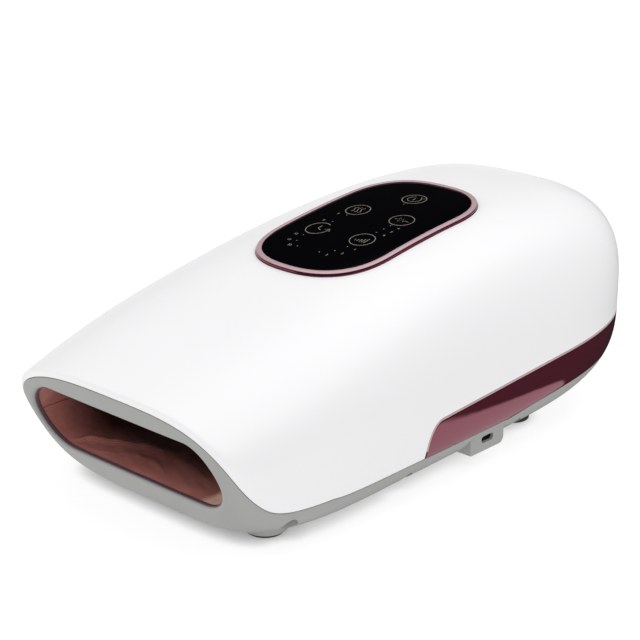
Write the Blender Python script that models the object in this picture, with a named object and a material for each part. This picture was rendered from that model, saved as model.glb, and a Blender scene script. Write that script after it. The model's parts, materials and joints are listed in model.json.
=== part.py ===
# Hand massager: a wedge-shaped casing with a hand opening at its front and air-driven press plates inside.
# Metres, +Z up. The opening faces -Y and the charging port is on +X.
# The origin lies under the middle of the object, on the surface that it stands on.

import math

import bmesh
import bpy
import numpy as np

# Casing outside
LENGTH = 0.322
WIDTH = 0.1688
FRONT_NARROWING = 0.0238
WIDENING_LENGTH = 0.0865
FRONT_HEIGHT = 0.0656
CREST_HEIGHT = 0.1122
CREST_SETBACK = 0.071
FLOOR_CLEARANCE = 0.0038
FRONT_WAIST_HEIGHT = 0.0321
REAR_WAIST_HEIGHT = 0.0604
SIDE_TAPER_LENGTH = 0.0984
TOP_TAPER_LENGTH = 0.0605
BOTTOM_TAPER_LENGTH = 0.127
SIDE_TAPER_POWER = 2.76
TOP_TAPER_POWER = 2.94
BOTTOM_TAPER_POWER = 2.06
FRONT_TOP_POWER = 3.23
REAR_TOP_POWER = 2.92
BOTTOM_POWER = 5.0

# Casing front
LIP_BAND = 0.0031
LIP_ROUNDING = 0.004
FASCIA_LEAN = 0.0123
FASCIA_POWER = 1.99
SEAM_SWEEP = 0.0592
SEAM_LOW_HEIGHT = 0.0125
SEAM_POWER = 1.93
CORNER_REACH = 2.39
CORNER_POWER = 7.2

# Casing walls and seams
SHELL_WALL = 0.0025
SEAM_GAP = 0.0003
SEAM_BLEND = 0.003
LIP_SCALE = 0.022
SIDE_EDGE_HEIGHT = 0.0193
TRIM_LENGTH = 0.202
TRIM_NOSE_LENGTH = 0.012
TRIM_NOSE_HEIGHT = 0.0175
TRIM_TOP_RISE_SHARE = 0.0648
TRIM_RISE_LENGTH = 0.137
TRIM_LOW_RISE_SHARE = 0.09

# Assembly
FIT = 0.0003
OVERRUN = 0.005

# Hand opening
OPENING_SIDE_MARGIN = 0.022
OPENING_HEIGHT = 0.0338
OPENING_BOTTOM = 0.0203
OPENING_END = 0.0173
OPENING_SIDES = 32

# Control panel
PANEL_SETBACK = 0.150
PANEL_WIDTH = 0.0746
PANEL_LENGTH = 0.1218
PANEL_POWER = 2.5
PANEL_SIDES = 40
RING_FLANGE = 0.0018
RING_WIDTH = 0.0034
RING_SKIRT_DEPTH = 0.003
RING_HEIGHT = 0.0019
RING_EDGE = 0.0005
GLASS_PROUD = 0.0013
GLASS_THICKNESS = 0.0012
GUIDE_THICKNESS = 0.004
BOARD_THICKNESS = 0.0016
BOARD_INSET = 0.004

# Case screws, their wells and posts
SIDE_SCREW_INSET = 0.0112
FRONT_SCREW_INSET = 0.004
FRONT_SCREW_DISTANCE = 0.038
SIDE_SCREW_SETBACK_1 = 0.210
SIDE_SCREW_SETBACK_2 = 0.125
SIDE_SCREW_SETBACK_3 = 0.078
BOSS_RADIUS = 0.0048
WELL_RADIUS = 0.0038
WELL_TOP = 0.0215
BOSS_TOP = 0.026
SCREW_HEAD_RADIUS = 0.0028
SCREW_HEAD_HEIGHT = 0.0018
SCREW_SHANK_RADIUS = 0.0014
SCREW_LENGTH = 0.014
PILOT_RADIUS = 0.0017
POST_SIDES = 10
POST_DEPTH_SHARE = 0.75
SCREW_SIDES = 8

# Feet
FOOT_RADIUS = 0.009
FOOT_CHAMFER = 0.001
FRONT_FOOT_INSET = 0.0314
REAR_FOOT_INSET = 0.0299
FRONT_FOOT_DISTANCE = 0.044
REAR_FOOT_SETBACK = 0.097
FOOT_SIDES = 16

# Charging port
PORT_OUTER_INSET = 0.0024
PORT_DEPTH = 0.0148
PORT_SETBACK = 0.1532
PORT_WIDTH = 0.026
PORT_BOTTOM = 0.0081
PORT_TOP = 0.019
PORT_ROUNDING = 0.0035
PORT_WALL = 0.002
POCKET_TOP = 0.0175
SLOT_WIDTH = 0.0092
SLOT_HEIGHT = 0.0036
SLOT_LEVEL = 0.0142
SOCKET_WIDTH = 0.0086
SOCKET_HEIGHT = 0.003
SOCKET_LENGTH = 0.007
SOCKET_WALL = 0.0004
SOCKET_SETBACK = 0.0004
TONGUE_WIDTH = 0.0066
TONGUE_HEIGHT = 0.0007
TONGUE_LENGTH = 0.0045
CHARGE_BOARD_LENGTH = 0.0115
CHARGE_BOARD_WIDTH = 0.019

# Hand chamber
CHAMBER_START = 0.048
CHAMBER_END_SETBACK = 0.126
SLEEVE_END_SETBACK = 0.117
SLEEVE_TAPER = 0.035
SLEEVE_THICKNESS = 0.0012
SLEEVE_SEAM = 0.0003
SLEEVE_NARROWING_SHARE = 0.35
SLEEVE_TAPER_POWER = 2.2
MOUTH_FRAME_WALL = 0.003
MOUTH_FRAME_DEPTH = 0.007
FRONT_GAP = 0.0012
TRAY_BOTTOM = 0.011
TRAY_THICKNESS = 0.002
TRAY_INSET = 0.0179
TRAY_CORNER = 0.014
TRAY_START = 0.044
TRAY_END_SETBACK = 0.124
TRAY_POST_INSET = 0.0265
TRAY_POST_RADIUS = 0.004
TRAY_POST_SHARES = (0.1, 0.5, 0.92)
FRAME_WALL = 0.0028
FRAME_TOP = 0.0643
FRAME_PLATE = 0.0024
FRAME_CHAMFER = 0.004
BAG_CORNER = 0.008
LOWER_BAG_THICKNESS = 0.003
UPPER_BAG_THICKNESS = 0.004
LOWER_BAG_INSET = 0.0165
UPPER_BAG_INSET = 0.0195
BAG_EDGE = 0.001
BAG_INSET = 0.002
UPPER_BAG_GAP = 0.012
NIPPLE_RADIUS = 0.0012
NIPPLE_LENGTH = 0.0035
PALM_PLATE_INSET = 0.0125
PALM_PLATE_THICKNESS = 0.0022
PALM_PLATE_CORNER = 0.016
NODE_RADIUS = 0.0045
NODE_HEIGHT = 0.0009
NODE_ROWS = 4
NODE_COLUMNS = 3
NODE_PITCH_X_SHARE = 0.296
NODE_PITCH_Y_SHARE = 0.23
NODE_SIDES = 8
PRESS_PLATE_INSET = 0.0185
PRESS_PLATE_THICKNESS = 0.0019
FILM_THICKNESS = 0.0004
FILM_INSET = 0.006

# Rear chamber
DECK_BOTTOM = 0.024
DECK_THICKNESS = 0.002
DECK_INSET = 0.0284
DECK_START_SETBACK = 0.110
DECK_END_SETBACK = 0.040
DECK_CORNER = 0.012
DECK_POST_INSET = 0.010
DECK_POST_SHARES = (0.143, 0.8)
PUMP_SETBACK = 0.094
PUMP_OVERHANG = 0.004
MOTOR_RADIUS = 0.012
MOTOR_END_X = -0.030
MOTOR_BORE_DEPTH = 0.010
SHAFT_RADIUS = 0.001
SHAFT_REACH = 0.012
SHAFT_CLEARANCE = 0.0001
CRANK_RADIUS = 0.0045
CRANK_THICKNESS = 0.004
CRANK_OFFSET = 0.0015
HEAD_RADIUS = 0.0135
HEAD_BORE = 0.0095
HEAD_LENGTH = 0.025
HEAD_END_WALL = 0.008
NOZZLE_RADIUS = 0.0014
NOZZLE_LENGTH = 0.0045
CRADLE_FLOOR = 0.002
CRADLE_HALF_WIDTH = 0.0115
CRADLE_LENGTH = 0.018
CRADLE_HEIGHT = 0.0075
ARC_STEPS = 8
CELL_RADIUS = 0.009
CELL_END_MARGIN = 0.0235
CELL_BUTTON_RADIUS = 0.0028
CELL_BUTTON_HEIGHT = 0.0008
CELL_SETBACK = 0.0505
CELL_SPACING = 0.019
HOLDER_RIM = 0.0015
HOLDER_HEIGHT = 0.0075
TURNED_SIDES = 20
MANIFOLD_X = 0.033
MANIFOLD_WIDTH = 0.034
MANIFOLD_LENGTH = 0.018
MANIFOLD_HEIGHT = 0.0065
VALVE_SPACING = 0.016
VALVE_WIDTH = 0.012
VALVE_LENGTH = 0.014
VALVE_HEIGHT = 0.0135
VALVE_BORE_RADIUS = 0.0027
VALVE_BORE_DEPTH = 0.0115
PLUNGER_RADIUS = 0.0023
PLUNGER_PROUD = 0.001
VALVE_SPRING_HEIGHT = 0.0036
SPRING_RADIUS = 0.0018
SPRING_WIRE = 0.00025
SPRING_TURNS = 3
SPRING_STEPS = 8
MAIN_BOARD_LEVEL = 0.060
MAIN_BOARD_INSET = 0.008
MAIN_BOARD_START_MARGIN = 0.005
MAIN_BOARD_END_MARGIN = 0.005
MAIN_BOARD_CORNER = 0.003
BOARD_POST_INSET = 0.004
BOARD_POST_RADIUS = 0.003
BOARD_POST_SHARES = (0.483, 0.9)
HOSE_RADIUS = 0.0015
HOSE_TURN = 0.005
HOSE_STEPS = 5
HOSE_RESOLUTION = 2

# Mesh fineness
CORE_HEIGHT = 0.050
BOTTOM_LOOP_SHARE = 0.55
KEEL_SHARE = 0.6
SHELL_ROW_SHARES = (0.0, 0.01, 0.03, 0.07, 0.14, 0.23, 0.33, 0.44, 0.54, 0.64, 0.75, 0.87, 1.0)
FASCIA_ROW_SHARES = (0.0, 0.3, 0.6, 0.82, 0.93, 1.0)
FLOOR_ROW_SHARES = (0.08, 0.22, 0.5, 1.0)
TRIM_ROW_SHARES = (0.0, 0.2, 0.4, 0.6, 0.8, 1.0)
FRONT_X_SHARES = (0.0, 0.3, 0.55, 0.72, 0.84, 0.94)
SIDE_DISTANCE_SHARES = (0.059, 0.161, 0.282, 0.456, 0.671, 0.886)
NOSE_STEPS = 5
SIDE_STEPS = 5
REAR_STEPS = 9
SEARCH_STEPS = 160
SOLVE_STEPS = 34
SLEEVE_ROWS = 7
SLEEVE_TAPER_ROWS = 7
SLEEVE_COLUMNS = 16
SHARP_ANGLE = math.radians(32)

FRONT_Y = -LENGTH / 2
REAR_Y = LENGTH / 2
FRONT_WIDTH = WIDTH - FRONT_NARROWING
LIP_SEAM_HEIGHT = FRONT_HEIGHT - LIP_BAND
CREST_DISTANCE = LENGTH - CREST_SETBACK
PANEL_Y = REAR_Y - PANEL_SETBACK
PANEL_SPINE = (PANEL_LENGTH - PANEL_WIDTH) / 2
OPENING_WIDTH = WIDTH - 2 * OPENING_SIDE_MARGIN
OPENING_LEVEL = OPENING_BOTTOM + OPENING_HEIGHT / 2
TRIM_Y = REAR_Y - TRIM_LENGTH
TRIM_RISE_Y = REAR_Y - TRIM_RISE_LENGTH
NOSE_END_Y = TRIM_Y + TRIM_NOSE_LENGTH
SIDE_SCREW_X = WIDTH / 2 - SIDE_SCREW_INSET
FRONT_SCREW_X = FRONT_WIDTH / 2 - FRONT_SCREW_INSET
FRONT_SCREW_Y = FRONT_Y + FRONT_SCREW_DISTANCE
SIDE_SCREW_SETBACKS = (SIDE_SCREW_SETBACK_1, SIDE_SCREW_SETBACK_2, SIDE_SCREW_SETBACK_3)
SIDE_SCREW_YS = [REAR_Y - setback for setback in SIDE_SCREW_SETBACKS]
PORT_OUTER_X = WIDTH / 2 - PORT_OUTER_INSET
PORT_INNER_X = PORT_OUTER_X - PORT_DEPTH
PORT_Y = REAR_Y - PORT_SETBACK
CHAMBER_Y = FRONT_Y + CHAMBER_START
CHAMBER_END_Y = REAR_Y - CHAMBER_END_SETBACK
TRAY_Y = FRONT_Y + TRAY_START
TRAY_END_Y = REAR_Y - TRAY_END_SETBACK
TRAY_WIDTH = WIDTH - 2 * TRAY_INSET
DECK_Y = REAR_Y - DECK_START_SETBACK
DECK_END_Y = REAR_Y - DECK_END_SETBACK
DECK_WIDTH = WIDTH - 2 * DECK_INSET
PUMP_Y = REAR_Y - PUMP_SETBACK
TINY = FIT / 1000


def closing(share, power):
    """1 until share 0, then rounding off to 0 at share 1."""
    return (1 - np.clip(share, 0, 1) ** power) ** (1 / power)


def half_width(y, inset):
    near = np.clip(1 - (y - FRONT_Y) / WIDENING_LENGTH, 0, 1)
    wide = WIDTH / 2 - (WIDTH - FRONT_WIDTH) / 2 * near**2 - inset
    share = (y - REAR_Y + SIDE_TAPER_LENGTH) / (SIDE_TAPER_LENGTH - inset)
    return wide * closing(share, SIDE_TAPER_POWER)


def waist(y):
    return FRONT_WAIST_HEIGHT + (REAR_WAIST_HEIGHT - FRONT_WAIST_HEIGHT) * (y - FRONT_Y) / LENGTH


def crown(y, inset):
    turn = math.pi / 2 * np.clip((y - FRONT_Y) / CREST_DISTANCE, 0, 1)
    height = FRONT_HEIGHT + (CREST_HEIGHT - FRONT_HEIGHT) * np.sin(turn) - inset
    share = (y - REAR_Y + TOP_TAPER_LENGTH) / (TOP_TAPER_LENGTH - inset)
    return waist(y) + (height - waist(y)) * closing(share, TOP_TAPER_POWER)


def underside(y, inset):
    share = (y - REAR_Y + BOTTOM_TAPER_LENGTH) / (BOTTOM_TAPER_LENGTH - inset)
    return waist(y) - (waist(y) - FLOOR_CLEARANCE - inset) * closing(share, BOTTOM_TAPER_POWER)


def fascia_y(z):
    drop = np.clip((LIP_SEAM_HEIGHT - z) / (LIP_SEAM_HEIGHT - OPENING_BOTTOM), 0, None)
    return FRONT_Y + FASCIA_LEAN * drop**FASCIA_POWER


def corner_depth(z):
    drop = np.clip((FRONT_HEIGHT - z) / (FRONT_HEIGHT - SEAM_LOW_HEIGHT), 0, None)
    sweep = FRONT_Y + SEAM_SWEEP * drop**SEAM_POWER - fascia_y(z)
    return LIP_ROUNDING + CORNER_REACH * np.clip(sweep, 0, None)


def top_power(y):
    return FRONT_TOP_POWER + (REAR_TOP_POWER - FRONT_TOP_POWER) * (y - FRONT_Y) / LENGTH


def section_value(points, inset):
    """Below 1 inside the casing's cross-section, with no regard to the front face."""
    x, y, z = np.moveaxis(points, -1, 0)
    level = waist(y)
    above = z >= level
    power = np.where(above, top_power(y), BOTTOM_POWER)
    reach = np.where(above, crown(y, inset) - level, level - underside(y, inset))
    return x, y, z, level, power, reach


def hull_value(points, inset):
    """Below 1 inside the casing, above 1 outside it."""
    x, y, z, level, power, reach = section_value(points, inset)
    face = fascia_y(z) + inset
    depth = corner_depth(z)
    side = half_width(y, inset) * closing((face + depth - y) / depth, CORNER_POWER)
    lift = reach * closing((face + LIP_ROUNDING - y) / LIP_ROUNDING, CORNER_POWER)
    wide = np.abs(x) / np.maximum(side, TINY)
    tall = np.abs(z - level) / np.maximum(lift, TINY)
    return wide**power + tall**power


def cast(starts, directions, inset):
    """Where rays from inside the casing meet its surface, or the surface inset by a wall."""
    lengths = np.linalg.norm(directions, axis=-1, keepdims=True)
    directions = directions / lengths
    near = np.zeros(directions.shape[:-1] + (1,))
    far = np.full_like(near, LENGTH)
    for _ in range(SOLVE_STEPS):
        middle = (near + far) / 2
        inside = (hull_value(starts + directions * middle, inset) < 1)[..., None]
        near = np.where(inside, middle, near)
        far = np.where(inside, far, middle)
    return starts + directions * near


def surface_z(x, y, inset, way):
    """Height of the casing's top (way 1) or underside (way -1) over a point in plan."""
    starts = np.stack([x, y, np.full_like(x, CORE_HEIGHT)], -1)
    return cast(starts, np.broadcast_to((0.0, 0.0, way), starts.shape), inset)[..., 2]


def front_wall_y(x, z):
    """Where the inside of the front wall lies behind a point of the opening."""
    starts = np.stack([x, np.full_like(x, CHAMBER_Y), z], -1)
    return cast(starts, np.broadcast_to((0.0, -1.0, 0.0), starts.shape), SHELL_WALL)[..., 1]


def side_edge_z(y):
    """Lower edge of the white cover along the sides: level, then up round the trim's nose and its top."""
    nose = np.clip((NOSE_END_Y - y) / TRIM_NOSE_LENGTH, 0, 1)
    rise = TRIM_NOSE_HEIGHT * np.sqrt(1 - nose**2)
    slope = TRIM_TOP_RISE_SHARE * np.clip(y - NOSE_END_Y, 0, None)
    return SIDE_EDGE_HEIGHT + rise + slope


def trim_low_z(y):
    return SIDE_EDGE_HEIGHT + TRIM_LOW_RISE_SHARE * np.clip(y - TRIM_RISE_Y, 0, None)


def cover_value(points):
    """Above 0 where the white cover lies, below 0 on the fascia and the trim."""
    x, y, z, level, power, reach = section_value(points, 0)
    wide = np.abs(x) / np.maximum(half_width(y, 0) - LIP_BAND, TINY)
    tall = np.abs(z - level) / np.maximum(reach - LIP_BAND, TINY)
    lip = LIP_SCALE * (wide**power + tall**power - 1)
    lip = lip + np.clip(y - FRONT_Y - SEAM_SWEEP, 0, None)
    side = z - side_edge_z(y)
    low = np.minimum(lip, side)
    return low - SEAM_BLEND * np.log(np.exp((low - lip) / SEAM_BLEND) + np.exp((low - side) / SEAM_BLEND))


def outline_reach(starts, directions, inset):
    """Distance in plan from a point on the panel's spine to its round-ended outline, moved in by inset."""
    near = np.zeros(len(starts))
    far = np.full(len(starts), PANEL_LENGTH)
    half = PANEL_WIDTH / 2 - inset
    for _ in range(SOLVE_STEPS):
        middle = (near + far) / 2
        at = starts + directions * middle[:, None]
        across = np.abs(at[:, 0]) / half
        along = np.clip(np.abs(at[:, 1] - PANEL_Y) - PANEL_SPINE, 0, None) / half
        inside = across**PANEL_POWER + along**PANEL_POWER < 1
        near = np.where(inside, middle, near)
        far = np.where(inside, far, middle)
    return near


def columns():
    """Points in plan round the casing, from the right front corner by the rear to the front."""
    side = [FRONT_Y + (TRIM_Y - FRONT_Y) * share for share in SIDE_DISTANCE_SHARES]
    turn = [math.pi / 2 * step / NOSE_STEPS for step in range(NOSE_STEPS + 1)]
    side += [TRIM_Y + TRIM_NOSE_LENGTH * (1 - math.cos(angle)) for angle in turn]
    taper = REAR_Y - SIDE_TAPER_LENGTH
    step = (taper - NOSE_END_Y) / SIDE_STEPS
    side += [NOSE_END_Y + step * count for count in range(1, SIDE_STEPS + 1)]
    side = np.array(side)
    angles = math.pi / 2 * np.arange(1, REAR_STEPS) / REAR_STEPS
    rear_y = taper + SIDE_TAPER_LENGTH * np.sin(angles) ** (2 / SIDE_TAPER_POWER)
    right_y = np.concatenate([side, rear_y])
    right = np.stack([half_width(right_y, 0), right_y], 1)
    front_x = np.array(FRONT_X_SHARES[1:]) * FRONT_WIDTH / 2
    front = np.stack([front_x, np.full_like(front_x, FRONT_Y)], 1)
    mirror = np.array([-1, 1])
    rear = np.array([[0, REAR_Y]])
    nose = np.array([[0, FRONT_Y]])
    return np.concatenate([right, rear, right[::-1] * mirror, front[::-1] * mirror, nose, front])


def along_casing():
    """Each column's plan point, the point on the panel's spine that it fans out from, and its direction."""
    plan = columns()
    spine = np.zeros_like(plan)
    spine[:, 1] = PANEL_Y + np.clip(plan[:, 1] - PANEL_Y, -PANEL_SPINE, PANEL_SPINE)
    away = plan - spine
    away = away / np.linalg.norm(away, axis=1, keepdims=True)
    core = np.column_stack([spine, np.full(len(plan), CORE_HEIGHT)])
    return plan, spine, away, core


def edge_points(core, away, value):
    """The outermost point of each column where value falls to 0 on the way down from the top."""
    turns = np.linspace(math.pi / 2, -math.pi / 2, SEARCH_STEPS)[1:-1]

    def on_hull(turn):
        flat = away * np.cos(turn)[:, None]
        return cast(core, np.column_stack([flat, np.sin(turn)]), 0)

    below = np.array([value(on_hull(np.full(len(core), turn))) < 0 for turn in turns])
    first = below.argmax(axis=0)
    high = turns[np.maximum(first - 1, 0)]
    low = turns[first]
    for _ in range(SOLVE_STEPS):
        middle = (high + low) / 2
        above = value(on_hull(middle)) >= 0
        high = np.where(above, middle, high)
        low = np.where(above, low, middle)
    return on_hull(high)


def between(starts, ends, shares):
    return np.array([starts + (ends - starts) * share for share in shares])


def on_casing(core, targets, inset):
    return cast(np.broadcast_to(core, targets.shape), targets - core, inset)


def material(name, colour, roughness, metallic=0.0):
    made = bpy.data.materials.new(name)
    made.use_nodes = True
    surface = made.node_tree.nodes["Principled BSDF"]
    surface.inputs["Base Color"].default_value = (*colour, 1)
    surface.inputs["Roughness"].default_value = roughness
    surface.inputs["Metallic"].default_value = metallic
    made.diffuse_color = (*colour, 1)
    return made


def make(name, points, faces, look, origin=(0, 0, 0)):
    """One object from points and faces in world places, with its origin where asked."""
    mesh = bpy.data.meshes.new(name)
    mesh.from_pydata([tuple(np.subtract(point, origin)) for point in points], [], faces)
    shape = bmesh.new()
    shape.from_mesh(mesh)
    bmesh.ops.recalc_face_normals(shape, faces=shape.faces)
    shape.to_mesh(mesh)
    shape.free()
    mesh.shade_smooth()
    mesh.set_sharp_from_angle(angle=SHARP_ANGLE)
    made = bpy.data.objects.new(name, mesh)
    made.location = origin
    bpy.context.scene.collection.objects.link(made)
    if look:
        mesh.materials.append(look)
    return made


def boolean(target, tool, operation):
    tool.hide_render = True
    tool.display_type = "WIRE"
    step = target.modifiers.new(tool.name, "BOOLEAN")
    step.operation = operation
    step.object = tool
    step.solver = "EXACT"


def sheet(outer, inner, wraps, capped):
    """Points and faces of a wall between two grids.

    wraps joins its last column to its first, and capped closes its last row.
    """
    rows, count = outer.shape[:2]
    points = np.concatenate([outer.reshape(-1, 3), inner.reshape(-1, 3)])
    spans = count if wraps else count - 1
    faces = []

    def at(layer, row, column):
        return (layer * rows + row) * count + column % count

    def quad(*corners):
        faces.append(tuple(at(*corner) for corner in corners))

    for row in range(rows - 1):
        for column in range(spans):
            for layer in (0, 1):
                ahead = column + 1
                after = row + 1
                quad((layer, row, column), (layer, row, ahead), (layer, after, ahead), (layer, after, column))
    for column in range(spans):
        quad((0, 0, column), (0, 0, column + 1), (1, 0, column + 1), (1, 0, column))
        if not capped:
            last = rows - 1
            quad((0, last, column), (0, last, column + 1), (1, last, column + 1), (1, last, column))
    if not wraps:
        for row in range(rows - 1):
            for column in (0, count - 1):
                quad((0, row, column), (0, row + 1, column), (1, row + 1, column), (1, row, column))
    if capped:
        for layer, grid in enumerate((outer, inner)):
            centre = len(points)
            points = np.concatenate([points, grid[-1].mean(axis=0, keepdims=True)])
            for column in range(count):
                faces.append((at(layer, rows - 1, column), at(layer, rows - 1, column + 1), centre))
    return points, faces


def stack(loops, joined=False):
    """Points and faces of a solid through loops of equal count, with flat ends, or joined as a ring."""
    count = len(loops[0])
    points = np.concatenate([np.asarray(loop, float) for loop in loops])
    spans = len(loops) if joined else len(loops) - 1
    faces = []
    for level in range(spans):
        low = level * count
        high = (level + 1) % len(loops) * count
        for step in range(count):
            ahead = (step + 1) % count
            faces.append((low + step, low + ahead, high + ahead, high + step))
    if not joined:
        faces.append(tuple(range(count)))
        faces.append(tuple(range((len(loops) - 1) * count, len(loops) * count)))
    return points, faces


def merged(parts):
    """Several closed shapes as one cutter or one added tool."""
    points = []
    faces = []
    for part_points, part_faces in parts:
        faces += [tuple(index + len(points) for index in face) for face in part_faces]
        points += [tuple(point) for point in part_points]
    return points, faces


def circle(centre, radius, sides, axis="z"):
    turn = 2 * math.pi * np.arange(sides) / sides
    first = radius * np.cos(turn)
    second = radius * np.sin(turn)
    flat = np.zeros(sides)
    order = {"x": (flat, first, second), "y": (first, flat, second), "z": (first, second, flat)}[axis]
    return np.stack(order, 1) + np.asarray(centre, float)


def rounded(x_low, x_high, y_low, y_high, radius, steps=4):
    """Corners of a rounded rectangle, anticlockwise."""
    loop = []
    for sign_x, sign_y, start in ((1, -1, -90), (1, 1, 0), (-1, 1, 90), (-1, -1, 180)):
        centre_x = (x_high - radius) if sign_x > 0 else (x_low + radius)
        centre_y = (y_high - radius) if sign_y > 0 else (y_low + radius)
        for step in range(steps + 1):
            angle = math.radians(start + 90 * step / steps)
            loop.append((centre_x + radius * math.cos(angle), centre_y + radius * math.sin(angle)))
    return loop


def slab(x_low, x_high, y_low, y_high, z_low, z_high, radius):
    plan = rounded(x_low, x_high, y_low, y_high, radius)
    return stack([[(x, y, z) for x, y in plan] for z in (z_low, z_high)])


def pillow(x_half, y_low, y_high, z_low, z_high, radius, edge):
    """A slab with drawn-in edges, for an air bag."""
    loops = []
    for z, draw in ((z_low, edge), ((z_low + z_high) / 2, 0), (z_high, edge)):
        plan = rounded(-x_half + draw, x_half - draw, y_low + draw, y_high - draw, radius - draw)
        loops.append([(x, y, z) for x, y in plan])
    return stack(loops)


def box(x_low, x_high, y_low, y_high, z_low, z_high):
    plan = [(x_low, y_low), (x_high, y_low), (x_high, y_high), (x_low, y_high)]
    return stack([[(x, y, z) for x, y in plan] for z in (z_low, z_high)])


def lathe(profile, start, sides, axis):
    """A turned solid: profile holds (way along the axis, radius) pairs, counted from start."""
    step = {"x": (1, 0, 0), "y": (0, 1, 0), "z": (0, 0, 1)}[axis]
    loops = []
    for way, radius in profile:
        centre = np.add(start, np.multiply(step, way))
        loops.append(circle(centre, radius, sides, axis))
    return stack(loops)


def post(x, y, radius, foot_z, top_z, sides):
    """An upright post whose ends may follow a surface: foot_z and top_z are heights, or one for each side."""
    loop = circle((x, y, 0), radius, sides)
    loops = []
    for height in (foot_z, top_z):
        ring = loop.copy()
        ring[:, 2] = height
        loops.append(ring)
    return stack(loops)


def in_wall(x, y, radius, sides, way):
    """Heights round a post's end that lie in the casing's wall, nearer its inside than its outside."""
    loop = circle((x, y, 0), radius, sides)
    return surface_z(loop[:, 0], loop[:, 1], SHELL_WALL * POST_DEPTH_SHARE, way)


def screw_places():
    """Case screws in plan, right side then left, front to rear."""
    for side in (1, -1):
        yield side * FRONT_SCREW_X, FRONT_SCREW_Y
        for y in SIDE_SCREW_YS:
            yield side * SIDE_SCREW_X, y


def stadium(outset):
    """The hand opening's outline in X and Z, moved out by outset."""
    turn = 2 * math.pi * np.arange(OPENING_SIDES) / OPENING_SIDES + math.pi / OPENING_SIDES
    straight = OPENING_WIDTH / 2 - OPENING_END
    x = np.sign(np.cos(turn)) * straight + (OPENING_END + outset) * np.cos(turn)
    z = OPENING_LEVEL + (OPENING_HEIGHT / 2 + outset) * np.sin(turn)
    return x, z


def top_shell(look):
    _, spine, away, core = along_casing()
    low = edge_points(core, away, lambda points: cover_value(points) - SEAM_GAP / 2)
    reach = outline_reach(spine, away, OVERRUN)
    rim = spine + away * reach[:, None]
    high = np.column_stack([rim, surface_z(rim[:, 0], rim[:, 1], 0, 1.0)])
    targets = between(low, high, SHELL_ROW_SHARES)
    outer = on_casing(core, targets, 0)
    inner = on_casing(core, outer, SHELL_WALL)
    shell = make("top_shell", *sheet(outer, inner, True, False), look)
    posts = []
    holes = []
    for x, y in screw_places():
        top = in_wall(x, y, BOSS_RADIUS, POST_SIDES, 1.0)
        posts.append(post(x, y, BOSS_RADIUS, BOSS_TOP + FIT, top, POST_SIDES))
        holes.append(post(x, y, PILOT_RADIUS, BOSS_TOP - OVERRUN, BOSS_TOP + SCREW_LENGTH, SCREW_SIDES))
    outline = panel_outline(RING_FLANGE)
    heights = (CORE_HEIGHT, CREST_HEIGHT + OVERRUN)
    window = stack([np.column_stack([outline, np.full(PANEL_SIDES, z)]) for z in heights])
    boolean(shell, make("panel_window_tool", *window, None), "DIFFERENCE")
    boolean(shell, make("top_posts_tool", *merged(posts), None), "UNION")
    boolean(shell, make("top_pilots_tool", *merged(holes), None), "DIFFERENCE")
    return shell


def bottom_shell(look):
    plan, _, away, core = along_casing()

    def value(points):
        behind = points[:, 1] > TRIM_Y - TINY
        return np.where(behind, points[:, 2] - trim_low_z(points[:, 1]), cover_value(points)) + SEAM_GAP / 2

    high = edge_points(core, away, value)
    keel = np.column_stack([plan, np.minimum(underside(plan[:, 1], 0), high[:, 2] * KEEL_SHARE)])
    flat_end = REAR_Y - BOTTOM_TAPER_LENGTH
    along = np.where(plan[:, 1] > PANEL_Y, (flat_end - PANEL_Y) / (REAR_Y - PANEL_Y), BOTTOM_LOOP_SHARE)
    loop = np.stack([plan[:, 0] * BOTTOM_LOOP_SHARE, PANEL_Y + (plan[:, 1] - PANEL_Y) * along], 1)
    low = np.column_stack([loop, np.full(len(loop), FLOOR_CLEARANCE)])
    targets = np.concatenate([between(high, keel, FASCIA_ROW_SHARES), between(keel, low, FLOOR_ROW_SHARES)])
    outer = on_casing(core, targets, 0)
    inner = on_casing(core, outer, SHELL_WALL)
    shell = make("bottom_shell", *sheet(outer, inner, True, True), look)

    x, z = stadium(0)
    ends = [FRONT_Y - OVERRUN, CHAMBER_Y]
    opening = stack([np.stack([x, np.full_like(x, y), z], 1) for y in ends])
    boolean(shell, make("opening_tool", *opening, None), "DIFFERENCE")
    boolean(shell, make("bosses_tool", *merged(bosses()), None), "UNION")
    boolean(shell, make("port_block_tool", *port_block(), None), "UNION")
    boolean(shell, make("bottom_cuts_tool", *merged(bottom_cuts()), None), "DIFFERENCE")
    return shell


def bosses():
    for x, y in screw_places():
        foot = in_wall(x, y, BOSS_RADIUS, POST_SIDES, -1.0)
        yield post(x, y, BOSS_RADIUS, foot, BOSS_TOP, POST_SIDES)
    tray_x = TRAY_WIDTH / 2 - TRAY_POST_INSET
    deck_x = DECK_WIDTH / 2 - DECK_POST_INSET
    supports = [(tray_x, TRAY_Y + (TRAY_END_Y - TRAY_Y) * share, TRAY_BOTTOM) for share in TRAY_POST_SHARES]
    deck_length = DECK_END_Y - DECK_Y
    supports += [(deck_x, DECK_Y + deck_length * share, DECK_BOTTOM) for share in DECK_POST_SHARES]
    for x, y, carried in supports:
        for side in (1, -1):
            foot = in_wall(side * x, y, TRAY_POST_RADIUS, POST_SIDES, -1.0)
            yield post(side * x, y, TRAY_POST_RADIUS, foot, carried - FIT, POST_SIDES)


def port_profile(inset):
    """The port block's outline in Y and Z, with rounded lower corners."""
    half = PORT_WIDTH / 2 - inset
    return PORT_Y - half, PORT_Y + half, PORT_BOTTOM + inset


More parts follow.
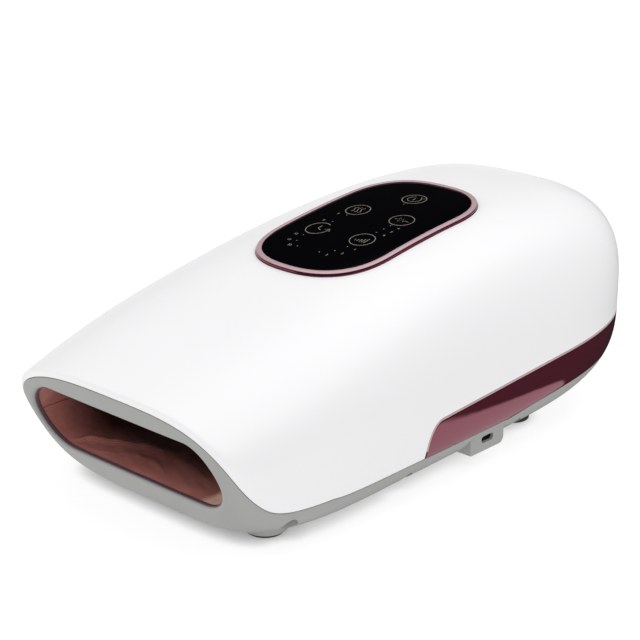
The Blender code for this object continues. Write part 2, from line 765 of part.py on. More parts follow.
def port_block():
    y_low, y_high, z_low = port_profile(0)
    plan = rounded(y_low, y_high, z_low, PORT_TOP + PORT_ROUNDING, PORT_ROUNDING)
    plan = [(y, min(z, PORT_TOP)) for y, z in plan]
    flat = []
    for point in plan:
        if not flat or max(abs(point[0] - flat[-1][0]), abs(point[1] - flat[-1][1])) > FIT:
            flat.append(point)
    return stack([[(x, y, z) for y, z in flat] for x in (PORT_INNER_X, PORT_OUTER_X)])


def slot(width, height, x_low, x_high):
    """A round-ended prism along X at the charging port."""
    half = width / 2
    end = height / 2
    plan = rounded(PORT_Y - half, PORT_Y + half, SLOT_LEVEL - end, SLOT_LEVEL + end, end)
    unique = [point for order, point in enumerate(plan) if math.dist(point, plan[order - 1]) > TINY]
    return stack([[(x, y, z) for y, z in unique] for x in (x_low, x_high)])


def bottom_cuts():
    for x, y in screw_places():
        yield post(x, y, WELL_RADIUS, -OVERRUN, WELL_TOP, POST_SIDES)
        yield post(x, y, PILOT_RADIUS, WELL_TOP + TINY, BOSS_TOP + OVERRUN, SCREW_SIDES)
    y_low, y_high, z_low = port_profile(PORT_WALL)
    yield box(PORT_INNER_X - OVERRUN, PORT_OUTER_X - PORT_WALL, y_low, y_high, z_low, POCKET_TOP)
    yield slot(SLOT_WIDTH, SLOT_HEIGHT, PORT_OUTER_X - PORT_WALL + TINY, PORT_OUTER_X + OVERRUN)


def rear_trim(look):
    plan, _, away, core = along_casing()
    behind = plan[:, 1] > TRIM_Y + TINY
    away, core = away[behind], core[behind]
    high = edge_points(core, away, lambda points: points[:, 2] - side_edge_z(points[:, 1]) + SEAM_GAP / 2)
    low = edge_points(core, away, lambda points: points[:, 2] - trim_low_z(points[:, 1]) - SEAM_GAP / 2)
    outer = on_casing(core, between(low, high, TRIM_ROW_SHARES), 0)
    inner = on_casing(core, outer, SHELL_WALL)
    make("rear_trim", *sheet(outer, inner, False, False), look)


def panel_outline(inset, sides=PANEL_SIDES):
    """Plan points round the control panel, moved in by inset."""
    turn = 2 * math.pi * np.arange(sides) / sides
    away = np.stack([np.cos(turn), np.sin(turn)], 1)
    starts = np.zeros_like(away)
    starts[:, 1] = PANEL_Y + PANEL_SPINE * np.clip(away[:, 1] * PANEL_LENGTH / PANEL_WIDTH, -1, 1)
    reach = outline_reach(starts, away, inset)
    return starts + away * reach[:, None]


def over_panel(plan, height):
    return np.column_stack([plan, surface_z(plan[:, 0], plan[:, 1], 0, 1.0) + height])


def panel_ring(look):
    skirt = RING_FLANGE + FIT
    profile = [
        (0, FIT),
        (0, RING_HEIGHT - RING_EDGE),
        (RING_EDGE, RING_HEIGHT),
        (RING_WIDTH - RING_EDGE, RING_HEIGHT),
        (RING_WIDTH, RING_HEIGHT - RING_EDGE),
        (RING_WIDTH, -RING_SKIRT_DEPTH),
        (skirt, -RING_SKIRT_DEPTH),
        (skirt, FIT),
    ]
    loops = [over_panel(panel_outline(inset), height) for inset, height in profile]
    make("panel_ring", *stack(loops, True), look)


def panel_disc(name, inset, top, bottom, look):
    """A plate under the panel's outline: its top follows the casing, and bottom places its underside."""
    outline = panel_outline(inset)
    centre = np.array([0, PANEL_Y])
    rings = [centre + (outline - centre) * share for share in (1 / 3, 2 / 3, 1)]
    loops = [over_panel(ring, top) for ring in rings]
    for ring in rings[::-1]:
        loops.append(bottom(ring))
    make(name, *stack(loops), look)


def panel_plane(plan, drop):
    """Points on the panel's flat mounting plane, drop below the casing's top at the middle of the panel."""
    ends = np.array([[0, PANEL_Y - PANEL_SPINE], [0, PANEL_Y + PANEL_SPINE]])
    low, high = surface_z(ends[:, 0], ends[:, 1], 0, 1.0)
    slope = (high - low) / (2 * PANEL_SPINE)
    level = (high + low) / 2 - drop
    return np.column_stack([plan, level + slope * (plan[:, 1] - PANEL_Y)])


def control_panel(looks):
    panel_ring(looks["panel_ring"])
    glass_inset = RING_WIDTH + FIT
    under = GLASS_PROUD - GLASS_THICKNESS
    guide_base = GUIDE_THICKNESS - under
    guide_top = under - FIT

    def glass_underside(ring):
        return over_panel(ring, under)

    def guide_underside(ring):
        return panel_plane(ring, guide_base)

    panel_disc("panel_glass", glass_inset, GLASS_PROUD, glass_underside, looks["panel_glass"])
    panel_disc("light_guide", glass_inset, guide_top, guide_underside, looks["light_guide"])
    outline = panel_outline(BOARD_INSET)
    drops = (guide_base + FIT, guide_base + FIT + BOARD_THICKNESS)
    make("touch_board", *stack([panel_plane(outline, drop) for drop in drops]), looks["touch_board"])


def case_screws(look):
    for order, (x, y) in enumerate(screw_places(), 1):
        head = WELL_TOP - FIT - SCREW_HEAD_HEIGHT
        profile = [
            (0, SCREW_HEAD_RADIUS),
            (SCREW_HEAD_HEIGHT, SCREW_HEAD_RADIUS),
            (SCREW_HEAD_HEIGHT, SCREW_SHANK_RADIUS),
            (SCREW_HEAD_HEIGHT + SCREW_LENGTH, SCREW_SHANK_RADIUS),
        ]
        make(f"case_screw_{order}", *lathe(profile, (x, y, head), SCREW_SIDES, "z"), look)


def feet(look):
    front = ("front", WIDTH / 2 - FRONT_FOOT_INSET, FRONT_Y + FRONT_FOOT_DISTANCE)
    rear = ("rear", WIDTH / 2 - REAR_FOOT_INSET, REAR_Y - REAR_FOOT_SETBACK)
    for name, x, y in (front, rear):
        for side, word in ((1, "right"), (-1, "left")):
            ground = circle((side * x, y, 0), FOOT_RADIUS - FOOT_CHAMFER, FOOT_SIDES)
            edge = circle((side * x, y, FOOT_CHAMFER), FOOT_RADIUS, FOOT_SIDES)
            tops = []
            for radius in (FOOT_RADIUS, FOOT_RADIUS / 2):
                top = circle((side * x, y, 0), radius, FOOT_SIDES)
                top[:, 2] = surface_z(top[:, 0], top[:, 1], 0, -1.0) - FIT
                tops.append(top)
            make(f"foot_{name}_{word}", *stack([ground, edge, *tops]), look)


def usb_socket(looks):
    front = PORT_OUTER_X - SOCKET_SETBACK
    back = front - SOCKET_LENGTH
    socket = make("usb_socket", *slot(SOCKET_WIDTH, SOCKET_HEIGHT, back, front), looks["usb_socket"])
    wall = 2 * SOCKET_WALL
    hollow = slot(SOCKET_WIDTH - wall, SOCKET_HEIGHT - wall, back + SOCKET_WALL, front + OVERRUN)
    boolean(socket, make("socket_hollow_tool", *hollow, None), "DIFFERENCE")
    y = PORT_Y
    half = TONGUE_WIDTH / 2
    low = SLOT_LEVEL - TONGUE_HEIGHT / 2
    end = back + SOCKET_WALL + TONGUE_LENGTH
    tongue = box(back + SOCKET_WALL / 2, end, y - half, y + half, low, low + TONGUE_HEIGHT)
    boolean(socket, make("socket_tongue_tool", *tongue, None), "UNION")
    board_top = SLOT_LEVEL - SOCKET_HEIGHT / 2 - FIT
    board_end = PORT_OUTER_X - PORT_WALL - FIT
    board_start = board_end - CHARGE_BOARD_LENGTH
    board_base = board_top - BOARD_THICKNESS
    half = CHARGE_BOARD_WIDTH / 2
    board = box(board_start, board_end, y - half, y + half, board_base, board_top)
    make("charge_board", *board, looks["charge_board"])


def mouth_frame(look):
    loops = []
    near, far = FRONT_GAP, MOUTH_FRAME_DEPTH
    wall = MOUTH_FRAME_WALL
    for outset, depth in ((FIT, near), (FIT, far), (wall, far), (wall, near)):
        x, z = stadium(outset)
        loops.append(np.stack([x, front_wall_y(x, z) + depth, z], 1))
    make("mouth_frame", *stack(loops, True), look)


def sleeve_panel(name, way, look):
    """Half of the liner, from one side seam round to the other, drawn in to its blind end."""
    turn = math.pi * np.arange(SLEEVE_COLUMNS + 1) / SLEEVE_COLUMNS
    straight = OPENING_WIDTH / 2 - OPENING_END
    straight_run = REAR_Y - SLEEVE_END_SETBACK - SLEEVE_TAPER
    grids = []
    for inset in (0, SLEEVE_THICKNESS):
        flat = np.where(np.abs(np.cos(turn)) < TINY, 0, np.sign(np.cos(turn)))
        x = flat * straight + (OPENING_END - inset) * np.cos(turn)
        rise = (OPENING_HEIGHT / 2 - SLEEVE_SEAM - inset) * np.sin(turn)
        z = OPENING_LEVEL + way * (rise + SLEEVE_SEAM / 2)
        start = front_wall_y(x, z) + FRONT_GAP
        rows = []
        for step in range(SLEEVE_ROWS):
            y = start + (straight_run - start) * step / SLEEVE_ROWS
            rows.append(np.stack([x, y, z], 1))
        for step in range(SLEEVE_TAPER_ROWS + 1):
            share = math.sin(math.pi / 2 * step / SLEEVE_TAPER_ROWS)
            shrink = closing(share, SLEEVE_TAPER_POWER)
            narrow = 1 - SLEEVE_NARROWING_SHARE * share**2
            y = np.full_like(x, straight_run + (SLEEVE_TAPER - inset) * share)
            height = OPENING_LEVEL + way * (rise * shrink + SLEEVE_SEAM / 2)
            rows.append(np.stack([x * narrow, y, height], 1))
        grids.append(np.array(rows))
    make(name, *sheet(*grids, False, False), look)


def hand_chamber(looks):
    mouth_frame(looks["mouth_frame"])
    sleeve_panel("sleeve_lower_panel", -1, looks["sleeve_lower_panel"])
    sleeve_panel("sleeve_upper_panel", 1, looks["sleeve_upper_panel"])
    start = CHAMBER_Y
    end = CHAMBER_END_Y
    tray_top = TRAY_BOTTOM + TRAY_THICKNESS
    half = TRAY_WIDTH / 2
    tray = slab(-half, half, TRAY_Y, TRAY_END_Y, TRAY_BOTTOM, tray_top, TRAY_CORNER)
    make("lower_tray", *tray, looks["lower_tray"])
    upper_frame(tray_top + FIT, start, end, looks["upper_frame"])

    bag_bottom = tray_top + FIT
    bag_top = bag_bottom + LOWER_BAG_THICKNESS
    span = (start + BAG_INSET, end - BAG_INSET)
    air_bag("lower_airbag", half - LOWER_BAG_INSET, span, (bag_bottom, bag_top), 1, looks)
    palm_plate(bag_top + FIT, start, end, looks["palm_plate"])

    film_bottom = OPENING_LEVEL + OPENING_HEIGHT / 2 + FIT
    plate_bottom = film_bottom + FILM_THICKNESS + FIT
    plate_top = plate_bottom + PRESS_PLATE_THICKNESS
    film_top = film_bottom + FILM_THICKNESS
    wide = half - UPPER_BAG_INSET
    half = half - PRESS_PLATE_INSET
    inner = half - FILM_INSET
    near, far = start + FILM_INSET, end - FILM_INSET
    film = slab(-inner, inner, near, far, film_bottom, film_top, BAG_CORNER)
    make("heating_film", *film, looks["heating_film"])
    plate = slab(-half, half, start, end, plate_bottom, plate_top, BAG_CORNER)
    make("press_plate", *plate, looks["press_plate"])
    upper = (plate_top + FIT, plate_top + FIT + UPPER_BAG_THICKNESS)
    middle = (start + end) / 2
    near = (start + BAG_INSET, middle - UPPER_BAG_GAP / 2)
    far = (middle + UPPER_BAG_GAP / 2, end - BAG_INSET)
    air_bag("upper_airbag_front", wide, near, upper, 1, looks)
    air_bag("upper_airbag_rear", wide, far, upper, 2, looks)


def nozzle(x, y, z, length, radius, axis="y"):
    return lathe([(0, radius), (length, radius)], (x, y, z), SCREW_SIDES, axis)


def air_bag(name, half, span, levels, nipples, looks):
    """A flat air bag with a nipple at its rear end, or one at each end."""
    bag = make(name, *pillow(half, *span, *levels, BAG_CORNER, BAG_EDGE), looks[name])
    x = MANIFOLD_X + VALVE_SPACING / 2 * (1 if name == "lower_airbag" else -1)
    level = (levels[0] + levels[1]) / 2
    reach = BAG_INSET + NIPPLE_LENGTH
    tools = [nozzle(x, span[1] - BAG_INSET, level, reach, NIPPLE_RADIUS)]
    if nipples == 2:
        tools.append(nozzle(x, span[0] - NIPPLE_LENGTH, level, reach, NIPPLE_RADIUS))
    boolean(bag, make(name + "_nipple_tool", *merged(tools), None), "UNION")


def upper_frame(base, start, end, look):
    """A bridge over the hand chamber: its legs stand on the tray, and its plate carries the upper bags."""
    half = TRAY_WIDTH / 2
    inner = half - FRAME_WALL
    ceiling = FRAME_TOP - FRAME_PLATE
    shoulder = FRAME_TOP - FRAME_CHAMFER
    right = [(inner, base), (half, base), (half, shoulder), (half - FRAME_CHAMFER, FRAME_TOP)]
    left = [(-x, z) for x, z in right[::-1]]
    under = [(-inner, ceiling), (inner, ceiling)]
    outline = right + left + under
    make("upper_frame", *stack([[(x, y, z) for x, z in outline] for y in (start, end)]), look)


def palm_plate(bottom, start, end, look):
    half = TRAY_WIDTH / 2 - PALM_PLATE_INSET
    top = bottom + PALM_PLATE_THICKNESS
    plate = make("palm_plate", *slab(-half, half, start, end, bottom, top, PALM_PLATE_CORNER), look)
    nodes = []
    middle = (start + end) / 2
    for row in range(NODE_ROWS):
        for column in range(NODE_COLUMNS):
            x = (column - (NODE_COLUMNS - 1) / 2) * NODE_PITCH_X_SHARE * 2 * half
            y = middle + (row - (NODE_ROWS - 1) / 2) * NODE_PITCH_Y_SHARE * (end - start)
            profile = [(0, NODE_RADIUS), (PALM_PLATE_THICKNESS / 2, NODE_RADIUS)]
            profile.append((PALM_PLATE_THICKNESS / 2 + NODE_HEIGHT, NODE_RADIUS / 2))
            nodes.append(lathe(profile, (x, y, top - PALM_PLATE_THICKNESS / 2), NODE_SIDES, "z"))
    boolean(plate, make("palm_nodes_tool", *merged(nodes), None), "UNION")


def trough(centres, half_width, base, level, radius, height):
    """Outline in Y and Z of a block with round troughs for cylinders lying along X."""
    outline = [(centres[0] - half_width, base), (centres[-1] + half_width, base)]
    rim = base + height
    reach = math.acos((level - rim) / radius)
    outline.append((centres[-1] + half_width, rim))
    for centre in centres[::-1]:
        for step in range(ARC_STEPS + 1):
            angle = reach - 2 * reach * step / ARC_STEPS
            outline.append((centre + radius * math.sin(angle), level - radius * math.cos(angle)))
    outline.append((centres[0] - half_width, rim))
    return outline


def pump(deck, looks):
    y = PUMP_Y
    axis = deck + FIT + CRADLE_FLOOR + FIT + HEAD_RADIUS
    start = (-DECK_WIDTH / 2 - PUMP_OVERHANG, y, axis)
    nose = MOTOR_END_X - start[0]
    motor = [
        (nose - MOTOR_BORE_DEPTH, SHAFT_RADIUS + SHAFT_CLEARANCE),
        (nose, SHAFT_RADIUS + SHAFT_CLEARANCE),
        (nose, MOTOR_RADIUS),
        (0, MOTOR_RADIUS),
    ]
    make("pump_motor", *lathe(motor, start, TURNED_SIDES, "x"), looks["pump_motor"])
    shaft_end = start[0] + nose - MOTOR_BORE_DEPTH + FIT
    crank_end = start[0] + nose + SHAFT_REACH
    crank_start = crank_end - CRANK_THICKNESS
    crank_axis = axis + CRANK_OFFSET
    shaft = [
        circle((shaft_end, y, axis), SHAFT_RADIUS, SCREW_SIDES, "x"),
        circle((crank_start, y, axis), SHAFT_RADIUS, SCREW_SIDES, "x"),
        circle((crank_start, y, crank_axis), CRANK_RADIUS, SCREW_SIDES, "x"),
        circle((crank_end, y, crank_axis), CRANK_RADIUS, SCREW_SIDES, "x"),
    ]
    make("pump_shaft", *stack(shaft), looks["pump_shaft"], (start[0] + nose, y, axis))
    mouth = nose + FIT
    end = mouth + HEAD_LENGTH
    head = [
        (end - HEAD_END_WALL, HEAD_BORE),
        (mouth, HEAD_BORE),
        (mouth, HEAD_RADIUS),
        (end, HEAD_RADIUS),
        (end, NOZZLE_RADIUS),
        (end + NOZZLE_LENGTH, NOZZLE_RADIUS),
    ]
    make("pump_head", *lathe(head, start, TURNED_SIDES, "x"), looks["pump_head"])
    base = deck + FIT
    outline = trough([y], CRADLE_HALF_WIDTH, base, axis, HEAD_RADIUS + FIT, CRADLE_HEIGHT)
    x_low = start[0] + mouth + (HEAD_LENGTH - CRADLE_LENGTH) / 2
    loops = [[(x, point[0], point[1]) for point in outline] for x in (x_low, x_low + CRADLE_LENGTH)]
    make("pump_cradle", *stack(loops), looks["pump_cradle"])
    return (start[0] + end + NOZZLE_LENGTH, y, axis)


def battery(deck, looks):
    base = deck + FIT
    axis = base + CRADLE_FLOOR + FIT + CELL_RADIUS
    centres = [REAR_Y - CELL_SETBACK - CELL_SPACING, REAR_Y - CELL_SETBACK]
    outline = trough(centres, CELL_RADIUS + HOLDER_RIM, base, axis, CELL_RADIUS + FIT, HOLDER_HEIGHT)
    half = DECK_WIDTH / 2 - CELL_END_MARGIN
    length = 2 * half
    loops = [[(x, y, z) for y, z in outline] for x in (-half, half)]
    make("battery_holder", *stack(loops), looks["battery_holder"])
    for order, y in enumerate(centres, 1):
        profile = [
            (0, CELL_RADIUS),
            (length - CELL_BUTTON_HEIGHT, CELL_RADIUS),
            (length - CELL_BUTTON_HEIGHT, CELL_BUTTON_RADIUS),
            (length, CELL_BUTTON_RADIUS),
        ]
        cell = lathe(profile, (-half, y, axis), TURNED_SIDES, "x")
        make(f"battery_cell_{order}", *cell, looks["battery_cell"])


def valve(letter, x, y, base, looks):
    """A solenoid air valve: its sprung plunger slides down its bore when it is switched."""
    top = base + VALVE_HEIGHT
    half_x = VALVE_WIDTH / 2
    half_y = VALVE_LENGTH / 2
    block = box(x - half_x, x + half_x, y - half_y, y + half_y, base, top)
    body = make(f"valve_{letter}_body", *block, looks["valve_body"])
    floor = top - VALVE_BORE_DEPTH
    profile = [(0, VALVE_BORE_RADIUS), (VALVE_BORE_DEPTH + OVERRUN, VALVE_BORE_RADIUS)]
    bore = lathe(profile, (x, y, floor), POST_SIDES, "z")
    boolean(body, make(f"valve_{letter}_bore_tool", *bore, None), "DIFFERENCE")
    spring_base = floor + FIT
    plunger_base = spring_base + VALVE_SPRING_HEIGHT + FIT
    length = top + PLUNGER_PROUD - plunger_base
    rod = lathe([(0, PLUNGER_RADIUS), (length, PLUNGER_RADIUS)], (x, y, plunger_base), POST_SIDES, "z")
    make(f"valve_{letter}_plunger", *rod, looks["valve_plunger"], (x, y, plunger_base))
    coil = []
    steps = SPRING_TURNS * SPRING_STEPS
    climb = VALVE_SPRING_HEIGHT - 2 * SPRING_WIRE
    for step in range(steps + 1):
        angle = 2 * math.pi * step / SPRING_STEPS
        across = (x + SPRING_RADIUS * math.cos(angle), y + SPRING_RADIUS * math.sin(angle))
        coil.append((*across, spring_base + SPRING_WIRE + climb * step / steps))
    tube(f"valve_{letter}_spring", coil, SPRING_WIRE, 0, looks["valve_spring"])


def valves(deck, looks):
    y = PUMP_Y
    base = deck + FIT
    half_x = MANIFOLD_WIDTH / 2
    half_y = MANIFOLD_LENGTH / 2
    top = base + MANIFOLD_HEIGHT
    body = box(MANIFOLD_X - half_x, MANIFOLD_X + half_x, y - half_y, y + half_y, base, top)
    block = make("valve_manifold", *body, looks["valve_manifold"])
    level = base + MANIFOLD_HEIGHT / 2
    reach = NOZZLE_LENGTH + BAG_INSET
    places = [MANIFOLD_X - VALVE_SPACING / 2, MANIFOLD_X + VALVE_SPACING / 2]
    tools = [nozzle(x, y - half_y - NOZZLE_LENGTH, level, reach, NOZZLE_RADIUS) for x in places]
    tools.append(nozzle(MANIFOLD_X - half_x - NOZZLE_LENGTH, y, level, reach, NOZZLE_RADIUS, "x"))
    boolean(block, make("manifold_nozzles_tool", *merged(tools), None), "UNION")
    for letter, x in zip("ab", places):
        valve(letter, x, y, top + FIT, looks)
    return places, y - half_y - NOZZLE_LENGTH, (MANIFOLD_X - half_x - NOZZLE_LENGTH, y, level)


def tube(name, places, radius, resolution, look):
    curve = bpy.data.curves.new(name, "CURVE")
    curve.dimensions = "3D"
    curve.bevel_depth = radius
    curve.bevel_resolution = resolution
    curve.use_fill_caps = True
    line = curve.splines.new("POLY")
    line.points.add(len(places) - 1)
    for point, place in zip(line.points, places):
        point.co = (*place, 1)
    made = bpy.data.objects.new(name, curve)
    curve.materials.append(look)
    bpy.context.scene.collection.objects.link(made)


def bent(corners, radius):
    """A path through corners, each turned on an arc of about the given radius."""
    corners = [np.array(corner, float) for corner in corners]
    path = [corners[0]]
    for before, here, after in zip(corners, corners[1:], corners[2:]):
        away = (before - here) / np.linalg.norm(before - here)
        onward = (after - here) / np.linalg.norm(after - here)
        first = here + away * radius
        last = here + onward * radius
        for step in range(HOSE_STEPS + 1):
            share = step / HOSE_STEPS
            path.append(first * (1 - share) ** 2 + here * 2 * share * (1 - share) + last * share**2)
    path.append(corners[-1])
    return [tuple(place) for place in path]


def hoses(outlet, places, nozzle_y, inlet, levels, ends, look):
    """Air hoses from the pump to the manifold, and from the manifold to the air bags."""
    mid_x = (outlet[0] + inlet[0]) / 2
    leave = [(outlet[0] + FIT, *outlet[1:]), (mid_x, *outlet[1:])]
    enter = [(mid_x, *inlet[1:]), (inlet[0] - FIT, *inlet[1:])]
    tube("hose_feed", bent(leave + enter, HOSE_TURN / 2), HOSE_RADIUS, HOSE_RESOLUTION, look)
    drop_y = DECK_Y - HOSE_RADIUS * 2
    for name, x, level in zip(("hose_upper", "hose_lower"), places, levels):
        start = (x, nozzle_y - FIT, inlet[2])
        route = [start, (x, drop_y, inlet[2]), (x, drop_y, level), (x, ends[0] + FIT, level)]
        tube(name, bent(route, HOSE_TURN / 2), HOSE_RADIUS, HOSE_RESOLUTION, look)
    link = [(places[0], ends[1] + FIT, levels[0]), (places[0], ends[2] - FIT, levels[0])]
    tube("hose_link", link, HOSE_RADIUS, HOSE_RESOLUTION, look)


def rear_chamber(looks):
    deck = DECK_BOTTOM + DECK_THICKNESS
    half = DECK_WIDTH / 2
    floor = slab(-half, half, DECK_Y, DECK_END_Y, DECK_BOTTOM, deck, DECK_CORNER)
    plate = make("rear_deck", *floor, looks["rear_deck"])
    half = half - MAIN_BOARD_INSET
    span = (DECK_Y + MAIN_BOARD_START_MARGIN, DECK_END_Y - MAIN_BOARD_END_MARGIN)
    posts = []
    for share in BOARD_POST_SHARES:
        for side in (1, -1):
            x = side * (half - BOARD_POST_INSET)
            y = span[0] + (span[1] - span[0]) * share
            low = DECK_BOTTOM + DECK_THICKNESS / 2
            posts.append(post(x, y, BOARD_POST_RADIUS, low, MAIN_BOARD_LEVEL - FIT, POST_SIDES))
    boolean(plate, make("deck_posts_tool", *merged(posts), None), "UNION")
    outlet = pump(deck, looks)
    battery(deck, looks)
    places, nozzle_y, inlet = valves(deck, looks)
    board_top = MAIN_BOARD_LEVEL + BOARD_THICKNESS
    board = slab(-half, half, *span, MAIN_BOARD_LEVEL, board_top, MAIN_BOARD_CORNER)
    make("main_board", *board, looks["main_board"])

    lower = TRAY_BOTTOM + TRAY_THICKNESS + FIT + LOWER_BAG_THICKNESS / 2
    plate_top = OPENING_LEVEL + OPENING_HEIGHT / 2 + FILM_THICKNESS + 2 * FIT + PRESS_PLATE_THICKNESS
    upper = plate_top + FIT + UPPER_BAG_THICKNESS / 2
    bag_end = CHAMBER_END_Y - BAG_INSET + NIPPLE_LENGTH
    middle = (CHAMBER_Y + CHAMBER_END_Y) / 2
    near = middle - UPPER_BAG_GAP / 2 + NIPPLE_LENGTH
    far = middle + UPPER_BAG_GAP / 2 - NIPPLE_LENGTH
    hoses(outlet, places, nozzle_y, inlet, (upper, lower), (bag_end, near, far), looks["hose"])


def materials():
    white = (0.86, 0.86, 0.87)
    grey = (0.36, 0.36, 0.38)
    rose = (0.30, 0.08, 0.13)
    fabric = (0.25, 0.10, 0.08)
    black = (0.01, 0.01, 0.012)
    rubber = (0.03, 0.03, 0.032)
    frame = (0.62, 0.62, 0.60)
    skin = (0.55, 0.58, 0.62)
    board = (0.02, 0.16, 0.07)
    steel = (0.62, 0.62, 0.64)
    copper = (0.50, 0.30, 0.16)
    blue = (0.05, 0.16, 0.42)
    return {
        "top_shell": material("top_shell", white, 0.25),
        "bottom_shell": material("bottom_shell", grey, 0.5),
        "rear_trim": material("rear_trim", rose, 0.08, 1.0),
        "panel_ring": material("panel_ring", (0.45, 0.22, 0.22), 0.15, 1.0),
        "panel_glass": material("panel_glass", black, 0.05),
        "light_guide": material("light_guide", (0.75, 0.75, 0.75), 0.4),
        "touch_board": material("touch_board", board, 0.5),
        "case_screw": material("case_screw", steel, 0.3, 1.0),
        "foot": material("foot", rubber, 0.8),
        "usb_socket": material("usb_socket", steel, 0.3, 1.0),
        "charge_board": material("charge_board", board, 0.5),
        "mouth_frame": material("mouth_frame", grey, 0.6),
        "sleeve_lower_panel": material("sleeve_lower_panel", fabric, 0.85),
        "sleeve_upper_panel": material("sleeve_upper_panel", fabric, 0.85),
        "lower_tray": material("lower_tray", frame, 0.5),
        "upper_frame": material("upper_frame", frame, 0.5),
        "lower_airbag": material("lower_airbag", skin, 0.6),
        "upper_airbag_front": material("upper_airbag_front", skin, 0.6),
        "upper_airbag_rear": material("upper_airbag_rear", skin, 0.6),
        "palm_plate": material("palm_plate", (0.5, 0.5, 0.52), 0.5),
        "press_plate": material("press_plate", (0.5, 0.5, 0.52), 0.5),
        "heating_film": material("heating_film", (0.60, 0.32, 0.05), 0.4),
        "rear_deck": material("rear_deck", frame, 0.5),
        "pump_motor": material("pump_motor", steel, 0.3, 1.0),
        "pump_shaft": material("pump_shaft", steel, 0.2, 1.0),
        "pump_head": material("pump_head", (0.08, 0.08, 0.09), 0.5),
        "pump_cradle": material("pump_cradle", rubber, 0.8),
        "battery_cell": material("battery_cell", blue, 0.35),
        "battery_holder": material("battery_holder", (0.05, 0.05, 0.05), 0.6),
        "valve_manifold": material("valve_manifold", (0.7, 0.7, 0.68), 0.5),
        "valve_body": material("valve_body", (0.10, 0.10, 0.11), 0.5),
        "valve_plunger": material("valve_plunger", steel, 0.3, 1.0),
        "valve_spring": material("valve_spring", copper, 0.3, 1.0),
        "main_board": material("main_board", board, 0.5),
        "hose": material("hose", (0.72, 0.74, 0.76), 0.4),
    }


def main():
    for leftover in list(bpy.data.objects):
        bpy.data.objects.remove(leftover, do_unlink=True)
    looks = materials()
    top_shell(looks["top_shell"])
    bottom_shell(looks["bottom_shell"])
    rear_trim(looks["rear_trim"])
    control_panel(looks)
    case_screws(looks["case_screw"])
    feet(looks["foot"])
    usb_socket(looks)
    hand_chamber(looks)
    rear_chamber(looks)


main()
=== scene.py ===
# Hand massager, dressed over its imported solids. Metres, +Z up, hand opening towards -Y, charging port on +X.

import json
import math

import bmesh
import bpy
import numpy as np
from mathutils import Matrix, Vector


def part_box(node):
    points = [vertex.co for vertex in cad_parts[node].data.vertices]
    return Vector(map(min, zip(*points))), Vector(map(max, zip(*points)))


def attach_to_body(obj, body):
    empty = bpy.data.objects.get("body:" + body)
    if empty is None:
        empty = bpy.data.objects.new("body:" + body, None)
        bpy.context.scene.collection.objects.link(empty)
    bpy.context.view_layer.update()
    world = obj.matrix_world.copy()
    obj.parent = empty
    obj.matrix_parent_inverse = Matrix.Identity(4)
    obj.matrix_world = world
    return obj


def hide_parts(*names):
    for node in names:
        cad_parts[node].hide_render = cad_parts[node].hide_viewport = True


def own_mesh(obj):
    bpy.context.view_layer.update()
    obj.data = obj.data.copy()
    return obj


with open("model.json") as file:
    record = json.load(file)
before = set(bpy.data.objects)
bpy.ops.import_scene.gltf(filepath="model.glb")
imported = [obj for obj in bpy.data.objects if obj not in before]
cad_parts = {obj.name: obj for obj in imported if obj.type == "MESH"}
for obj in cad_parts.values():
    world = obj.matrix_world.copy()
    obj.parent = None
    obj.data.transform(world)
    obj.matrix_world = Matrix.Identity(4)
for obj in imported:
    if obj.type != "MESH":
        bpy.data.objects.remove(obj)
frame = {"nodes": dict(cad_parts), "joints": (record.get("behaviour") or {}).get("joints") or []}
scene = bpy.context.scene
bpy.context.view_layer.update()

camera = {"turn": 43.19, "lift": 19.82, "place": (0.5590, -0.6199, 0.3580), "lens": 98.4, "sensor": 36.0}


def addCamera():
    turn, lift = math.radians(camera["turn"]), math.radians(camera["lift"])
    back = Vector((math.sin(turn) * math.cos(lift), -math.cos(turn) * math.cos(lift), math.sin(lift)))
    data = bpy.data.cameras.new("camera")
    data.lens = camera["lens"]
    data.sensor_width = camera["sensor"]
    made = bpy.data.objects.new("camera", data)
    made.location = camera["place"]
    made.rotation_euler = back.to_track_quat("Z", "Y").to_euler()
    scene.collection.objects.link(made)
    scene.camera = made


addCamera()
print("camera placed")

casing = {
    "length": 0.322, "width": 0.1688, "frontNarrowing": 0.0238, "wideningLength": 0.0865, "wall": 0.0025,
    "frontHeight": 0.0656, "crestHeight": 0.1122, "crestSetback": 0.071, "frontWaist": 0.0321,
    "rearWaist": 0.0604, "floorClearance": 0.0038,
    "frontDrop": (0.0013, 0.20),  # how much lower in front, over what length
    "sideTaper": (0.0984, 2.76), "topTaper": (0.0605, 2.94), "bottomTaper": (0.127, 2.06),  # length, power
    "topPowers": (3.23, 2.92), "bottomPower": 5.0, "lipBand": 0.0031, "lipRounding": 0.004, "lipScale": 0.022,
    "fasciaLean": 0.0123, "fasciaPower": 1.99, "seamSweep": 0.0592, "seamLow": 0.0125, "seamPower": 1.93,
    "seamBlend": 0.003, "cornerReach": 2.39, "cornerPower": 7.2, "sideEdge": 0.0193,
    "core": 0.050, "chamberStart": 0.048,
}
opening = {"sideMargin": 0.022, "height": 0.0338, "bottom": 0.0203, "end": 0.0173, "edge": 0.0021}
trim = {"length": 0.202, "nose": (0.012, 0.0175), "topRise": 0.0648, "riseLength": 0.137, "lowRise": 0.09}
panel = {"setback": 0.150, "width": 0.0746, "length": 0.1218, "power": 2.5}
panel["spine"] = (panel["length"] - panel["width"]) / 2

